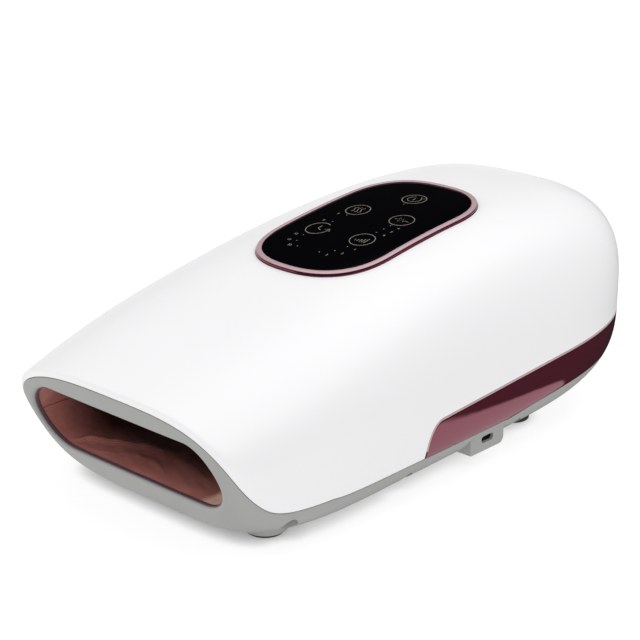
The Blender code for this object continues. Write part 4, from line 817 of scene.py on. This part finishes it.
# The mirror band between the cover's side edge and the base, with a softened edge at both.
def makeTrim():
    plan = planPoints(columns=900, finest=0.0004, coarsest=0.0020, growth=0.03)
    plan = plan[plan[:, 1] > trimY + 0.00002]
    _, away, core = fanFrom(plan)
    high = edgePoints(core, away, lambda points: points[:, 2] - sideEdgeZ(points[:, 1]))
    low = edgePoints(core, away, lambda points: points[:, 2] - trimLowZ(points[:, 1]))
    width = np.linalg.norm(high - low, axis=1)
    gap = np.minimum(trimWork["gap"], width * 0.1)
    soft = np.minimum(trimWork["edge"], width * 0.25)
    steps = trimWork["edgeSteps"]
    lowRows = seamRows(low, high - low, core, gap, soft, casing["wall"], steps, False)
    highRows = seamRows(high, low - high, core, gap, soft, casing["wall"], steps, False)
    shares = [np.linspace(0, 1, trimWork[rows])[1:-1] for rows in ("rows", "innerRows")]
    outer = cast(core, lerp(lowRows[-1], highRows[-1], shares[0]) - core)
    inner = cast(core, lerp(highRows[0], lowRows[0], shares[1]) - core, casing["wall"])
    rows = np.concatenate([lowRows, outer, highRows[::-1], inner])
    start = len(lowRows) + len(outer)
    # The softened upper edge takes the pale edge finish, a painted highlight along it.
    shape = filled(gridShape(rows, False, True, [(start, start + steps, 1)]))
    attach(finishMesh("rearTrim", shape, [roseMirror, roseEdgeHighlight], 50), "rear_trim")

makeTrim()
print("trim made")

ring = {
    "width": 0.0029, "height": 0.0020, "flange": 0.0021, "skirt": 0.003, "outerRounding": 0.0013,
    "innerRounding": 0.0007, "columns": 260,
    "foot": ((-0.00025, 0.0), (-0.00025, 0.0002), (-0.0001, 0.0003), (0.0, 0.0004)),
}
glass = {"inset": 0.0030, "proud": 0.0014, "thickness": 0.0012, "edge": 0.0003, "rings": 26}
# Millimetres in plan, from the middle of the panel. A dot's last number is how far its digit stands beside it.
icons = {
    "radius": 6.4, "line": 0.38, "thin": 0.30, "dot": 0.34, "digit": 2.3,
    "timer": (-15.3, -9.4), "heat": (-13.2, 18.0), "power": (1.5, 44.8), "mode": (15.4, 18.8),
    "strength": (13.9, -9.0),
    "dots": {
        "10": (-16.6, -18.8, -4.7), "15": (-15.0, -25.2, -4.7), "20": (-10.3, -29.7, -4.7),
        "1": (12.8, -18.6, 5.4), "2": (10.2, -24.8, 5.4), "3": (4.3, -29.5, 5.4),
        "4": (15.1, 10.6, 5.6), "5": (14.8, 5.8, 5.6), "6": (14.4, 0.9, 5.6),
        "7": (-13.5, 9.8, -5.4), "8": (-14.4, 0.1, -5.4), "": (1.8, 36.2, 0.0),
    },
}


def panelOutline(inset, count):
    turn = 2 * math.pi * np.arange(count) / count
    away = np.stack([np.cos(turn), np.sin(turn)], 1)
    starts = np.zeros_like(away)
    starts[:, 1] = panelY + panel["spine"] * np.clip(away[:, 1] * panel["length"] / panel["width"], -1, 1)
    reach = outlineReach(starts, away, inset)
    return starts + away * reach[:, None]


def overPanel(plan, height):
    return np.column_stack([plan, surfaceZ(plan[:, 0], plan[:, 1]) + height])


def arc(centre, radius, start, end, steps):
    turns = np.radians(np.linspace(start, end, steps + 1))
    return [(centre[0] + radius * math.cos(turn), centre[1] + radius * math.sin(turn)) for turn in turns]


# The ring's rows run inwards over its top; the glass starts from its middle and ends under it.
def makePanel():
    top, width, skirt = ring["height"], ring["width"], -ring["skirt"]
    outer, inner = ring["outerRounding"], ring["innerRounding"]
    profile = list(ring["foot"])
    profile += arc((outer, top - outer), outer, 180, 90, 12)
    profile += arc((width - inner, top - inner), inner, 90, 0, 10)
    profile += [(width, skirt), (ring["flange"], skirt), (ring["flange"], 0.0)]
    rows = [overPanel(panelOutline(inset, ring["columns"]), height) for inset, height in profile]
    # Rows 9 to 25, over the ring's top, take the pale finish, a painted highlight; the rest, round its foot,
    # outer side and underside, take the dark finish, painted shade.
    shape = gridShape(rows, True, True, [(9, 25, 1)])
    attach(finishMesh("panelRing", shape, [ringSideShade, ringTopHighlight], 50), "panel_ring")

    middle = np.array([0, panelY])
    outline = panelOutline(glass["inset"], ring["columns"])
    rows = []
    for share in np.linspace(0.001, 1, glass["rings"])[:-1]:
        rows.append(overPanel(middle + (outline - middle) * share, glass["proud"]))
    edge = glass["edge"]
    for turned in np.linspace(0, math.pi / 2, 5):
        loop = panelOutline(glass["inset"] + edge * (1 - math.sin(turned)), ring["columns"])
        rows.append(overPanel(loop, glass["proud"] - edge * (1 - math.cos(turned))))
    for share in (1, 0.6, 0.3, 0.001):
        rows.append(overPanel(middle + (outline - middle) * share, glass["proud"] - glass["thickness"]))
    attach(finishMesh("panelGlass", shapeFromRows(rows), blackGlass, 50), "panel_glass")

# Each stroke as (points in mm in plan, line width in mm).
def iconStrokes():
    thick, thin, radius = icons["line"], icons["thin"], icons["radius"]
    for name in ("heat", "power", "mode", "strength"):
        yield arc(icons[name], radius, 0, 360, 48), thick
    x, y = icons["timer"]
    yield arc((x, y), radius, 60, 372, 44), thick
    yield [(x + 4.2, y + 0.3), (x + 6.5, y + 1.6), (x + 7.9, y - 0.7)], thin
    yield [(x - 0.2, y + 3.1), (x, y), (x + 2.4, y - 1.2)], thick
    x, y = icons["heat"]
    for offset in (-2.2, 0, 2.2):
        wave = [(x + offset + 0.65 * math.sin(step / 2), y - 3.1 + 6.2 * step / 14) for step in range(15)]
        yield wave, thin
    x, y = icons["power"]
    yield arc((x, y), 3.6, 110, 400, 26), thin
    yield [(x + 1.3, y + 4.6), (x + 2.6, y + 2.3), (x + 4.6, y + 3.7)], thin
    yield [(x, y + 1.3), (x, y - 1.7)], thick
    x, y = icons["mode"]
    pulse = [(-4.4, 0), (-2.9, 0), (-2.2, 2.2), (-1.0, -2.4), (0.2, 1.7), (1.2, -1.2), (1.9, 0), (4.4, 0)]
    yield [(x + a, y + b) for a, b in pulse], thin
    x, y = icons["strength"]
    for order in range(5):
        place = x - 3.0 + 1.5 * order
        yield [(place, y - 2.5), (place, y - 1.4 + 0.9 * order)], thick
    for place in icons["dots"].values():
        yield arc(place[:2], icons["dot"] / 2, 0, 360, 8), icons["dot"]


def digitShape(text, place):
    font = bpy.data.curves.new("digits", "FONT")
    font.body = text
    font.size = icons["digit"]
    font.align_x = "CENTER"
    font.align_y = "CENTER"
    font.extrude = 0.03
    shape = curveShape(font)
    bmesh.ops.translate(shape, verts=shape.verts, vec=(*place, 0))
    return shape


def makeIcons():
    shapes = [wireShape([[(x, y, 0, width / 2) for x, y in line] for line, width in iconStrokes()])]
    for text, (x, y, offset) in icons["dots"].items():
        if text:
            shapes.append(digitShape(text, (x + offset, y - 0.6)))
    whole = joined(shapes)
    plan = np.array([(vert.co.x, vert.co.y) for vert in whole.verts]) / 1000
    level = surfaceZ(plan[:, 0], plan[:, 1]) + glass["proud"]
    for vert, (x, y), height in zip(whole.verts, plan, level):
        vert.co = (x, y, height + max(vert.co.z, -0.05) * 0.0001 + 0.000004)
    attach(finishMesh("panelIcons", whole, iconInk, 0), None, "panel_glass")

makePanel()
makeIcons()
print("control panel made")

lining = {
    "columns": 240, "straightRows": 170, "endRows": 36, "end": 0.044, "taper": 0.035, "narrowing": 0.35,
    "taperPower": 2.2, "thickness": 0.0007, "frontGap": 0.0006, "seam": 0.0003, "creasing": 0.75,
}
folds = [  # x, y, direction in degrees, length, width, height, all but the direction in mm
    (-51, -140, 58, 18, 1.7, 1.5), (-44, -134, 36, 24, 2.1, 2.0), (-36, -140, 14, 20, 1.5, 1.1),
    (-31, -127, 30, 30, 2.5, 2.0), (-18, -121, 10, 38, 3.0, 1.5), (-8, -133, -6, 28, 2.0, 0.6),
    (12, -125, -8, 42, 3.2, 1.1), (32, -116, -14, 36, 3.0, 1.4), (45, -131, -40, 24, 2.2, 1.2),
    (5, -94, 4, 60, 5.0, 1.8), (-42, -94, 70, 30, 4.0, 1.9), (45, -90, -75, 30, 4.0, 1.9),
]


# How far the cloth stands in from its even shape, in metres, at a point in plan.
def foldHeight(x, y):
    total = np.zeros_like(x)
    for atX, atY, turn, length, width, height in folds:
        turn = math.radians(turn)
        dx = x * 1000 - atX
        dy = y * 1000 - atY
        along = dx * math.cos(turn) + dy * math.sin(turn)
        across = -dx * math.sin(turn) + dy * math.cos(turn) + 1.6 * np.sin(along * 0.16 + atX)
        crest = np.exp(-((across / width) ** 2))
        valley = 0.45 * np.exp(-(((across - 1.9 * width) / (1.3 * width)) ** 2))
        total = total + height * (crest - valley) * np.exp(-((along / (length / 2)) ** 2))
    ripple = 0.25 * np.sin(x * 310 + 2.1 * np.sin(y * 95)) * np.sin(y * 210 + 1.3 * np.sin(x * 120))
    ripple = ripple + 0.12 * np.sin(x * 760 + y * 420) * np.sin(y * 690 - x * 250)
    return (total * lining["creasing"] + ripple) / 1000


# Half of the lining, below (way -1) or above (1): a straight trough that closes to a round end.
def makeLining(way, name, node):
    columns = lining["columns"]
    halfArc = math.pi / 2 * opening["end"]
    straight = openingWidth / 2 - opening["end"]
    across = np.linspace(0, 2 * halfArc + 2 * straight, columns)
    stops = [0, halfArc, halfArc + 2 * straight, 2 * halfArc + 2 * straight]
    turn = np.interp(across, stops, np.radians([0, 90, 90, 180]))
    side = np.interp(across, stops, [1, 1, -1, -1])
    x = side * straight + opening["end"] * np.cos(turn)
    rise = (opening["height"] / 2 - lining["seam"]) * np.sin(turn)
    z = openingLevel + way * (rise + lining["seam"] / 2)
    start = faceY(x, z, casing["wall"]) + lining["frontGap"]
    run = lining["end"] - lining["taper"]
    rows = []
    for step in range(lining["straightRows"]):
        rows.append(np.stack([x, start + (run - start) * step / lining["straightRows"], z], 1))
    for step in range(lining["endRows"] + 1):
        share = math.sin(math.pi / 2 * step / lining["endRows"])
        shrink = closing(share, lining["taperPower"])
        narrow = 1 - lining["narrowing"] * share**2
        height = openingLevel + way * (rise * shrink + lining["seam"] / 2)
        rows.append(np.stack([x * narrow, np.full_like(x, run + lining["taper"] * share), height], 1))
    rows = np.array(rows)
    inward = np.zeros_like(rows)
    inward[..., 0] = -np.cos(turn) * np.abs(np.cos(turn))
    inward[..., 2] = -way * np.sin(turn)
    spread = np.abs(np.cos(turn)) * 0.012 * np.sign(np.cos(turn))
    ridge = foldHeight(rows[..., 0] + spread, rows[..., 1] + (0.011 if way > 0 else 0))
    depth = rows[..., 1] - start
    held = np.clip(depth / 0.010, 0, 1) ** 1.5 * np.clip((run + 0.012 - rows[..., 1]) / 0.02, 0, 1)
    seamHeld = np.clip(np.sin(turn) * 3.0, 0.0, 1)
    ridge = np.maximum(ridge, -0.00015) * held * seamHeld
    rows = rows + inward * ridge[..., None]
    lengthways = float(np.mean(np.sum(np.linalg.norm(np.diff(rows, axis=0), axis=2), axis=0)))
    widthways = float(across[-1])
    piece = finishMesh(name, gridShape(rows, flat=(widthways, lengthways)), liningCloth, 0)
    wall = piece.modifiers.new("wall", "SOLIDIFY")
    wall.thickness = lining["thickness"]
    wall.offset = 1.0 if centreSide(piece) else -1.0
    bakeModifiers(piece)
    attach(piece, node)
    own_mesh(piece)


# Whether the sheet's faces look into the hand's room.
def centreSide(piece):
    face = piece.data.polygons[len(piece.data.polygons) // 2]
    return (Vector((0, face.center.y, openingLevel)) - face.center).dot(face.normal) < 0


mouthLip = {
    "columns": 280, "width": 0.003, "depth": 0.0070, "soft": 0.0004, "front": -0.0008, "proud": -0.0005,
}


# The dark ring that clamps the lining, seen as a thin lip inside the opening.
def makeMouthFrame():
    soft, front, inner, outer = (mouthLip[key] for key in ("soft", "front", "proud", "width"))
    corners = (
        (inner + soft, front + soft, 180), (-0.00015, front + soft, 270), (outer - soft, 0.0012 + soft, 270),
        (outer - soft, mouthLip["depth"] - soft, 0), (inner + soft, 0.0014 - soft, 90),
    )
    rows = []
    for outset, depth, start in corners:
        for place, inwards in arc((outset, depth), soft, start, start + 90, 5):
            x, z = openingLoop(place, mouthLip["columns"])
            rows.append(np.stack([x, faceY(x, z, casing["wall"]) + inwards, z], 1))
    attach(finishMesh("mouthFrame", gridShape(rows, True, True), darkLip, 60), "mouth_frame")


# Even points round the hand opening, moved out by outset.
def openingLoop(outset, count):
    straight = openingWidth / 2 - opening["end"]
    halfArc = math.pi / 2 * opening["end"]
    along = np.linspace(0, 4 * (straight + halfArc), count, endpoint=False)
    ends = np.cumsum([0, straight, 2 * halfArc, 2 * straight, 2 * halfArc, straight])
    turn = np.interp(along, ends, np.radians([90, 90, -90, -90, -270, -270]))
    return openingPoint(np.interp(along, ends, [0, 1, 1, -1, -1, 0]), turn, outset)


makeMouthFrame()
makeLining(-1, "liningLower", "sleeve_lower_panel")
makeLining(1, "liningUpper", "sleeve_upper_panel")
print("lining made")

foot = {  # x, y and the level of the collar's lower edge; the profile's radius and height in mm
    "Front": (0.053, -0.117, 0.0017), "Rear": (0.0545, 0.064, 0.0046),
    "profile": (
        (0, 0.4), (5.2, 0.4), (5.4, 0.2), (5.6, 0), (7.8, 0), (8.5, 0.2), (8.9, 0.6), (9, 1.1), (9, 2.4),
        (8.8, 3), (8.8, 3.4), (9, 3.7), (9, 4.5), (4, 4.5), (0, 4.5),
    ),
    "sunk": 0.0002,
}
collar = {"inner": 0.0092, "outer": 0.0103, "soft": 0.0005, "height": 0.0081, "flare": 0.0032, "steps": 12}
screw = (  # radius and height in mm
    (0, 19.4), (1.9, 19.4), (2.5, 19.6), (2.8, 20.0), (2.8, 21.2),
    (1.4, 21.2), (1.4, 34.5), (0.8, 35.2), (0, 35.2),
)
crossSlots = (((0.0015, 0.0003), (0.0190, 0.0202)), ((0.0003, 0.0015), (0.0191, 0.0201)))  # halves, heights


# The four feet, each with its top carried up to the casing's underside.
def makeFeet():
    profile = [(radius / 1000, height / 1000) for radius, height in foot["profile"]]
    for name in ("Front", "Rear"):
        x, y, _ = foot[name]
        for side, word in ((1, "Right"), (-1, "Left")):
            shape = turnedShape(profile, (side * x, y, 0), 56)
            tops = [vert for vert in shape.verts if vert.co.z > 0.0044]
            level = surfaceZ(np.array([v.co.x for v in tops]), np.array([v.co.y for v in tops]), -1.0)
            for vert, height in zip(tops, level):
                vert.co.z = height - foot["sunk"]
            piece = finishMesh(f"foot{name}{word}", shape, rubber, 40)
            attach(piece, f"foot_{name.lower()}_{word.lower()}", "foot")


# The casing's low collars, one round each foot, flared into its underside.
def makeCollars():
    collars = []
    inner, outer, soft = collar["inner"], collar["outer"], collar["soft"]
    for x, y, low in (foot["Front"], foot["Rear"]):
        top = low + collar["height"]
        start = low + soft
        profile = [(inner, top), (inner, low + 0.0002), (inner + 0.0002, low)]
        profile += arc((outer - soft, start), soft, 270, 360, 6)
        for share in np.linspace(0, 1, collar["steps"])[1:]:
            profile.append((outer + collar["flare"] * share**1.6, start + (top - start) * share))
        profile.append(profile[0])
        collars += [turnedShape(profile, (side * x, y, 0), 72) for side in (1, -1)]
    attach(finishMesh("footCollars", joined(collars), greyShell, 40), None, "bottom_shell")


def makeScrews():
    profile = [(radius / 1000, height / 1000) for radius, height in screw]
    for order, (x, y) in enumerate(screwPlaces, 1):
        piece = finishMesh(f"caseScrew{order}", turnedShape(profile, (x, y, 0), 28), steel, 40)
        slots = []
        for (across, deep), (low, high) in crossSlots:
            slots.append(blockShape((x - across, y - deep, low), (x + across, y + deep, high)))
        cutAway(piece, slots)
        attach(piece, f"case_screw_{order}", "case_screw")


makeFeet()
makeCollars()
makeScrews()
print("feet and screws made")

socket = {
    "recess": 0.0017, "length": 0.0070, "outer": (0.0090, 0.0034), "inner": (0.0081, 0.0025),
    "contacts": 6, "pitch": 0.001,
}


def slotLoop(width, height, count=48):
    radius = port["corner"] * height
    turn = 2 * math.pi * np.arange(count) / count + math.pi / count
    across = np.sign(np.cos(turn)) * (width / 2 - radius) + radius * np.cos(turn)
    return across, np.sign(np.sin(turn)) * (height / 2 - radius) + radius * np.sin(turn)


# A closed round-ended tube along X from (x, width, height) stations.
def slotTube(stations):
    rows = []
    for x, width, height in stations:
        y, z = slotLoop(width, height)
        rows.append(np.stack([np.full_like(y, x), y + port["y"], z + port["level"]], 1))
    return shapeFromRows(rows)


def makePort():
    outer, y, bottom = port["outer"], port["y"], port["low"]
    half = port["width"] / 2
    shape = blockShape((outer - port["depth"], y - half, bottom), (outer, y + half, port["top"]))

    # The rear lower edge, the front lower edge, then the rim of the outer face
    def soften(width, segments, inside):
        edges = [edge for edge in shape.edges if all(inside(vert.co) for vert in edge.verts)]
        softenEdges(shape, edges, width, segments)

    soften(port["rounding"], 10, lambda co: co.z < bottom + tiny and co.y > y + half - tiny)
    soften(0.0008, 4, lambda co: co.z < bottom + tiny and co.y < y - half + tiny)
    soften(0.0005, 4, lambda co: co.x > outer - tiny)
    piece = finishMesh("portBlock", shape, greyShell, 40)
    slot = slotTube([(outer - 0.004, *port["slot"]), (outer + 0.002, *port["slot"])])
    cutAway(piece, [slot, portPocket(0.003, port["wall"], 0)])
    soft = piece.modifiers.new("soft", "BEVEL")
    soft.width = 0.00018
    soft.segments = 2
    soft.limit_method = "ANGLE"
    soft.angle_limit = math.radians(50)
    bakeModifiers(piece)
    attach(piece, None, "bottom_shell")


def makeSocket():
    y, z = port["y"], port["level"]
    front = port["outer"] - socket["recess"]
    back = front - socket["length"]
    outer, inner = socket["outer"], socket["inner"]
    stations = ((back, *outer), (front - 0.0001, *outer), (front, 0.0089, 0.0033), (front, 0.0083, 0.0027))
    stations += ((front - 0.0002, *inner), (back + 0.0004, *inner))
    attach(finishMesh("usbShell", slotTube(stations), socketBlack, 40), "usb_socket")
    tongue = blockShape((back + 0.0002, y - 0.0033, z - 0.00035), (back + 0.0060, y + 0.0033, z + 0.00030))
    softenEdges(tongue, list(tongue.edges), 0.00012, 2)
    attach(finishMesh("usbTongue", tongue, tongueGrey, 40), None, "usb_socket")
    strips = []
    for order in range(socket["contacts"]):
        at = y + (order - (socket["contacts"] - 1) / 2) * socket["pitch"]
        low = (back + 0.0012, at - 0.00018, z - 0.00039)
        strips.append(blockShape(low, (back + 0.0048, at + 0.00018, z + 0.00039)))
    attach(finishMesh("usbContacts", joined(strips), gold, 40), None, "usb_socket")


makePort()
makeSocket()
print("charging port made")

lowerPlace = ((0.0133, 0.0163), "palm_lift", 0.0133)  # levels, joint, level that stays
upperPlace = ((0.0576, 0.0616), "press_drop", 0.0616)
bags = {  # node, half width, ends, the above, and the places across of its rear and front ports
    "lowerBag": ("lower_airbag", 0.050, (-0.111, 0.033), *lowerPlace, (0.041,), ()),
    "upperBagFront": ("upper_airbag_front", 0.047, (-0.111, -0.045), *upperPlace, (0.025,), ()),
    "upperBagRear": ("upper_airbag_rear", 0.047, (-0.033, 0.033), *upperPlace, (0.025,), (0.025,)),
}
bagPort = {"radius": 0.0012, "sunk": 0.003, "length": 0.0035}


# A welded film bag, puffed up between its round weld spots.
def makeBag(name, node, half, span, levels, joint, anchor, rearPorts, frontPorts):
    low, high = levels
    centre = ((span[0] + span[1]) / 2, (low + high) / 2)
    reach = (span[1] - span[0]) / 2
    turn = 2 * math.pi * np.arange(160) / 160
    cosine, sine = np.cos(turn), np.sin(turn)
    outline = (np.abs(cosine) ** 9 + np.abs(sine) ** 9) ** (-1 / 9)
    rows = []
    for side in (-1, 1):
        shares = np.linspace(0.001, 1, 26)
        for share in shares if side < 0 else shares[::-1][1:]:
            x = half * outline * cosine * share
            y = reach * outline * sine * share
            welds = np.cos(x / half * math.pi * 1.5) ** 8 * np.cos(y / reach * math.pi * 1.5) ** 8
            puff = (1 - share**8) ** 0.5 * (1 - 0.55 * welds) if share < 0.95 else 0.09
            z = centre[1] + side * (high - low) / 2 * np.maximum(puff, 0.09)
            rows.append(np.stack([x, y + centre[0], np.broadcast_to(z, x.shape)], 1))
    shapes = [shapeFromRows(rows)]
    radius = bagPort["radius"]
    for places, at, way in ((rearPorts, span[1], 1), (frontPorts, span[0], -1)):
        for x in places:
            ends = (at - way * bagPort["sunk"], at + way * bagPort["length"])
            shapes.append(wireShape([[(x, end, centre[1], radius) for end in ends]]))
    whole = joined(shapes)
    bmesh.ops.recalc_face_normals(whole, faces=whole.faces)
    piece = finishMesh(name, whole, airSkin, 50)
    attach(piece, node)
    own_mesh(piece)


hose = {"radius": 0.0015, "bend": 0.0022, "bendSteps": 6, "turnY": 0.048}


# The corners of each hose's run inside its solid's box.
def hoseRoute(node):
    low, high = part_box(node)
    middle = (low + high) / 2
    radius = hose["radius"]
    if node == "hose_link":
        return [(middle.x, low.y, middle.z), (middle.x, high.y, middle.z)]
    if node == "hose_feed":
        start, end = high.z - radius, low.z + radius
        corners = ((low.x, start), (middle.x, start), (middle.x, end), (high.x, end))
        return [(x, middle.y, z) for x, z in corners]
    first, last = low.z + radius, high.z - radius
    if node == "hose_lower":
        first, last = last, first
    places = ((high.y, first), (hose["turnY"], first), (hose["turnY"], last), (low.y, last))
    return [(middle.x, y, z) for y, z in places]


def makeHoses():
    for node in ("hose_feed", "hose_upper", "hose_lower", "hose_link"):
        route = [Vector(point) for point in hoseRoute(node)]
        path = [route[0]]
        for before, point, after in zip(route, route[1:], route[2:]):
            before = (before - point).normalized() * hose["bend"]
            after = (after - point).normalized() * hose["bend"]
            for step in range(hose["bendSteps"] + 1):
                share = step / hose["bendSteps"]
                path.append(point + before * (1 - share) ** 2 + after * share**2)
        path.append(route[-1])
        shape = wireShape([[(*place, hose["radius"]) for place in path]])
        attach(finishMesh(node.replace("_", "") + "Tube", shape, hoseRubber, 50), node, "hose")


for name, values in bags.items():
    makeBag(name, *values)
makeHoses()
print("air bags and hoses made")

coil = {"wire": 0.0002, "turns": 6, "dead": 1.0, "steps": 28}


# The valves' springs, each a coil of wire filling its solid's box.
def makeSprings():
    strokes = {joint["name"]: joint.get("range_m", ()) for joint in frame["joints"]}
    for letter in "ab":
        node = f"valve_{letter}_spring"
        low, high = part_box(node)
        middle = (low + high) / 2
        wire = coil["wire"]
        radius = (high.x - low.x) / 2 - wire
        bottom, top = low.z + wire, high.z - wire
        line = []
        for step in range(int((coil["turns"] + 2 * coil["dead"]) * coil["steps"]) + 1):
            turned = step / coil["steps"]
            share = min(max((turned - coil["dead"]) / coil["turns"], 0), 1)
            angle = 2 * math.pi * turned
            place = (middle.x + radius * math.cos(angle), middle.y + radius * math.sin(angle))
            line.append((*place, bottom + (top - bottom) * share, wire))
        piece = finishMesh(f"valve{letter.upper()}Spring", wireShape([line]), copper, 50)
        attach(piece, node, "valve_spring")
        joint = f"valve_{letter}_stroke"
        share = 1 - max(abs(limit) for limit in strokes[joint]) / (high.z - low.z)
        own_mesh(piece)


kept = {
    greenBoard: "touch_board charge_board main_board", milkyGuide: "light_guide valve_manifold",
    framePlastic: "lower_tray upper_frame rear_deck", platePlastic: "palm_plate press_plate",
    heatFilm: "heating_film", rubber: "pump_cradle", cellWrap: "battery_cell_1 battery_cell_2",
    steel: "pump_motor pump_shaft valve_a_plunger valve_b_plunger",
    blackPlastic: "pump_head battery_holder valve_a_body valve_b_body",
}
for look, nodes in kept.items():
    for node in nodes.split():
        for slot in frame["nodes"][node].material_slots:
            slot.material = look
makeSprings()
print("inner parts finished")

studio = {
    "sky": (0.86, 1.17), "skyReach": (0.10, 0.95), "backdrop": 1.05, "mirrorDark": 0.02, "mirrorFloor": 0.75,
    "floorEdge": (-0.706, -0.694), "floorTilt": 0.53, "roof": (0.60, 0.85), "farWall": 0.9,
    "farWallReach": (-0.60, -0.45), "farWallTop": 0.25, "floor": (0.25, 0.25, 0.25), "glow": 0.82,
    "contact": 0.010, "contactShadowTone": (0.30, 0.30, 0.31),
}
lamps = {  # place, aim, size, power
    "overhead": ((-0.10, 0.85, 1.0), (0, 0.05, 0), (1.0, 1.0), 4.5),
    "front": ((-0.3, -1.2, 0.5), (0, -0.1, 0.04), (0.8, 0.6), 0.8),
}


# A pale floor that glows evenly, apart from a painted contact shadow in the strip next to what stands on it.
def addFloor():
    glow = {"Emission Strength": studio["glow"]}
    floor = Finish("floor", **{"Roughness": 0.9, "Specular IOR Level": 0.0, **glow})
    # Painted shadow: an occlusion test darkens the glow next to what stands on the floor.
    near = floor.node("ShaderNodeAmbientOcclusion", {"samples": 12}, {"Distance": studio["contact"]}, "AO")
    near = floor.between(near, 0.0, 1.0, 0.05, 0.60)
    floor.set(
        Emission_Color=floor.blend(near, tone(*studio["contactShadowTone"]), tone(1, 1, 1)),
        Base_Color=floor.blend(floor.noise(3.0), tone(*studio["floor"]), tone(0.245, 0.245, 0.247)),
    )
    shape = bmesh.new()
    bmesh.ops.create_grid(shape, x_segments=1, y_segments=1, size=6)
    plane = finishMesh("floor", shape, floor.material, 0)
    plane.visible_glossy = False


# A white backdrop for the camera, a brighter or darker room for mirrors, and an even sky for the rest.
def addSky():
    world = bpy.data.worlds.new("studio")
    scene.world = world
    world.use_nodes = True
    sky = Nodes(world.node_tree)
    x, _, z = sky.split(sky.node("ShaderNodeTexCoord"))

    def ramp(value, first, last, fromLow, fromHigh):
        return sky.between(value, first, last, fromLow, fromHigh, "SMOOTHSTEP")

    ground = z - x * studio["floorTilt"]
    ground = ramp(ground, studio["mirrorFloor"], studio["mirrorDark"], *studio["floorEdge"])
    wall = ramp(x, studio["farWall"], 0.0, *studio["farWallReach"])
    wall = wall * ramp(z, 1.0, 0.0, 0.0, studio["farWallTop"])
    roof = ramp(z, 0.0, 1.0, *studio["roof"])
    white = tone(1, 1, 1)
    mirrored = sky.node("ShaderNodeBackground", None, {"Strength": ground.math("MAXIMUM", wall) + roof})
    backdrop = {"Color": white, "Strength": studio["backdrop"]}
    backdrop = sky.node("ShaderNodeBackground", None, backdrop)
    even = sky.tree.nodes["Background"]
    sky.put(even.inputs["Color"], white)
    sky.put(even.inputs["Strength"], ramp(z, *studio["sky"], *studio["skyReach"]))

    def choose(ray, first, second):
        share = sky.node("ShaderNodeLightPath", output=ray)
        return sky.node("ShaderNodeMixShader", None, {0: share, 1: first, 2: second})

    seen = choose("Is Glossy Ray", Value(sky, even.outputs[0]), mirrored)
    seen = choose("Is Camera Ray", seen, backdrop)
    sky.put(sky.tree.nodes["World Output"].inputs[0], seen)


def addLamps():
    for name, (place, aim, size, power) in lamps.items():
        data = bpy.data.lights.new(name, "AREA")
        data.shape = "RECTANGLE"
        data.size, data.size_y = size
        data.energy = power
        made = bpy.data.objects.new(name, data)
        made.location = place
        made.visible_glossy = False
        made.rotation_euler = (Vector(aim) - Vector(place)).to_track_quat("-Z", "Y").to_euler()
        scene.collection.objects.link(made)


addFloor()
addSky()
addLamps()
scene.view_settings.view_transform = "Standard"
print("stage set")
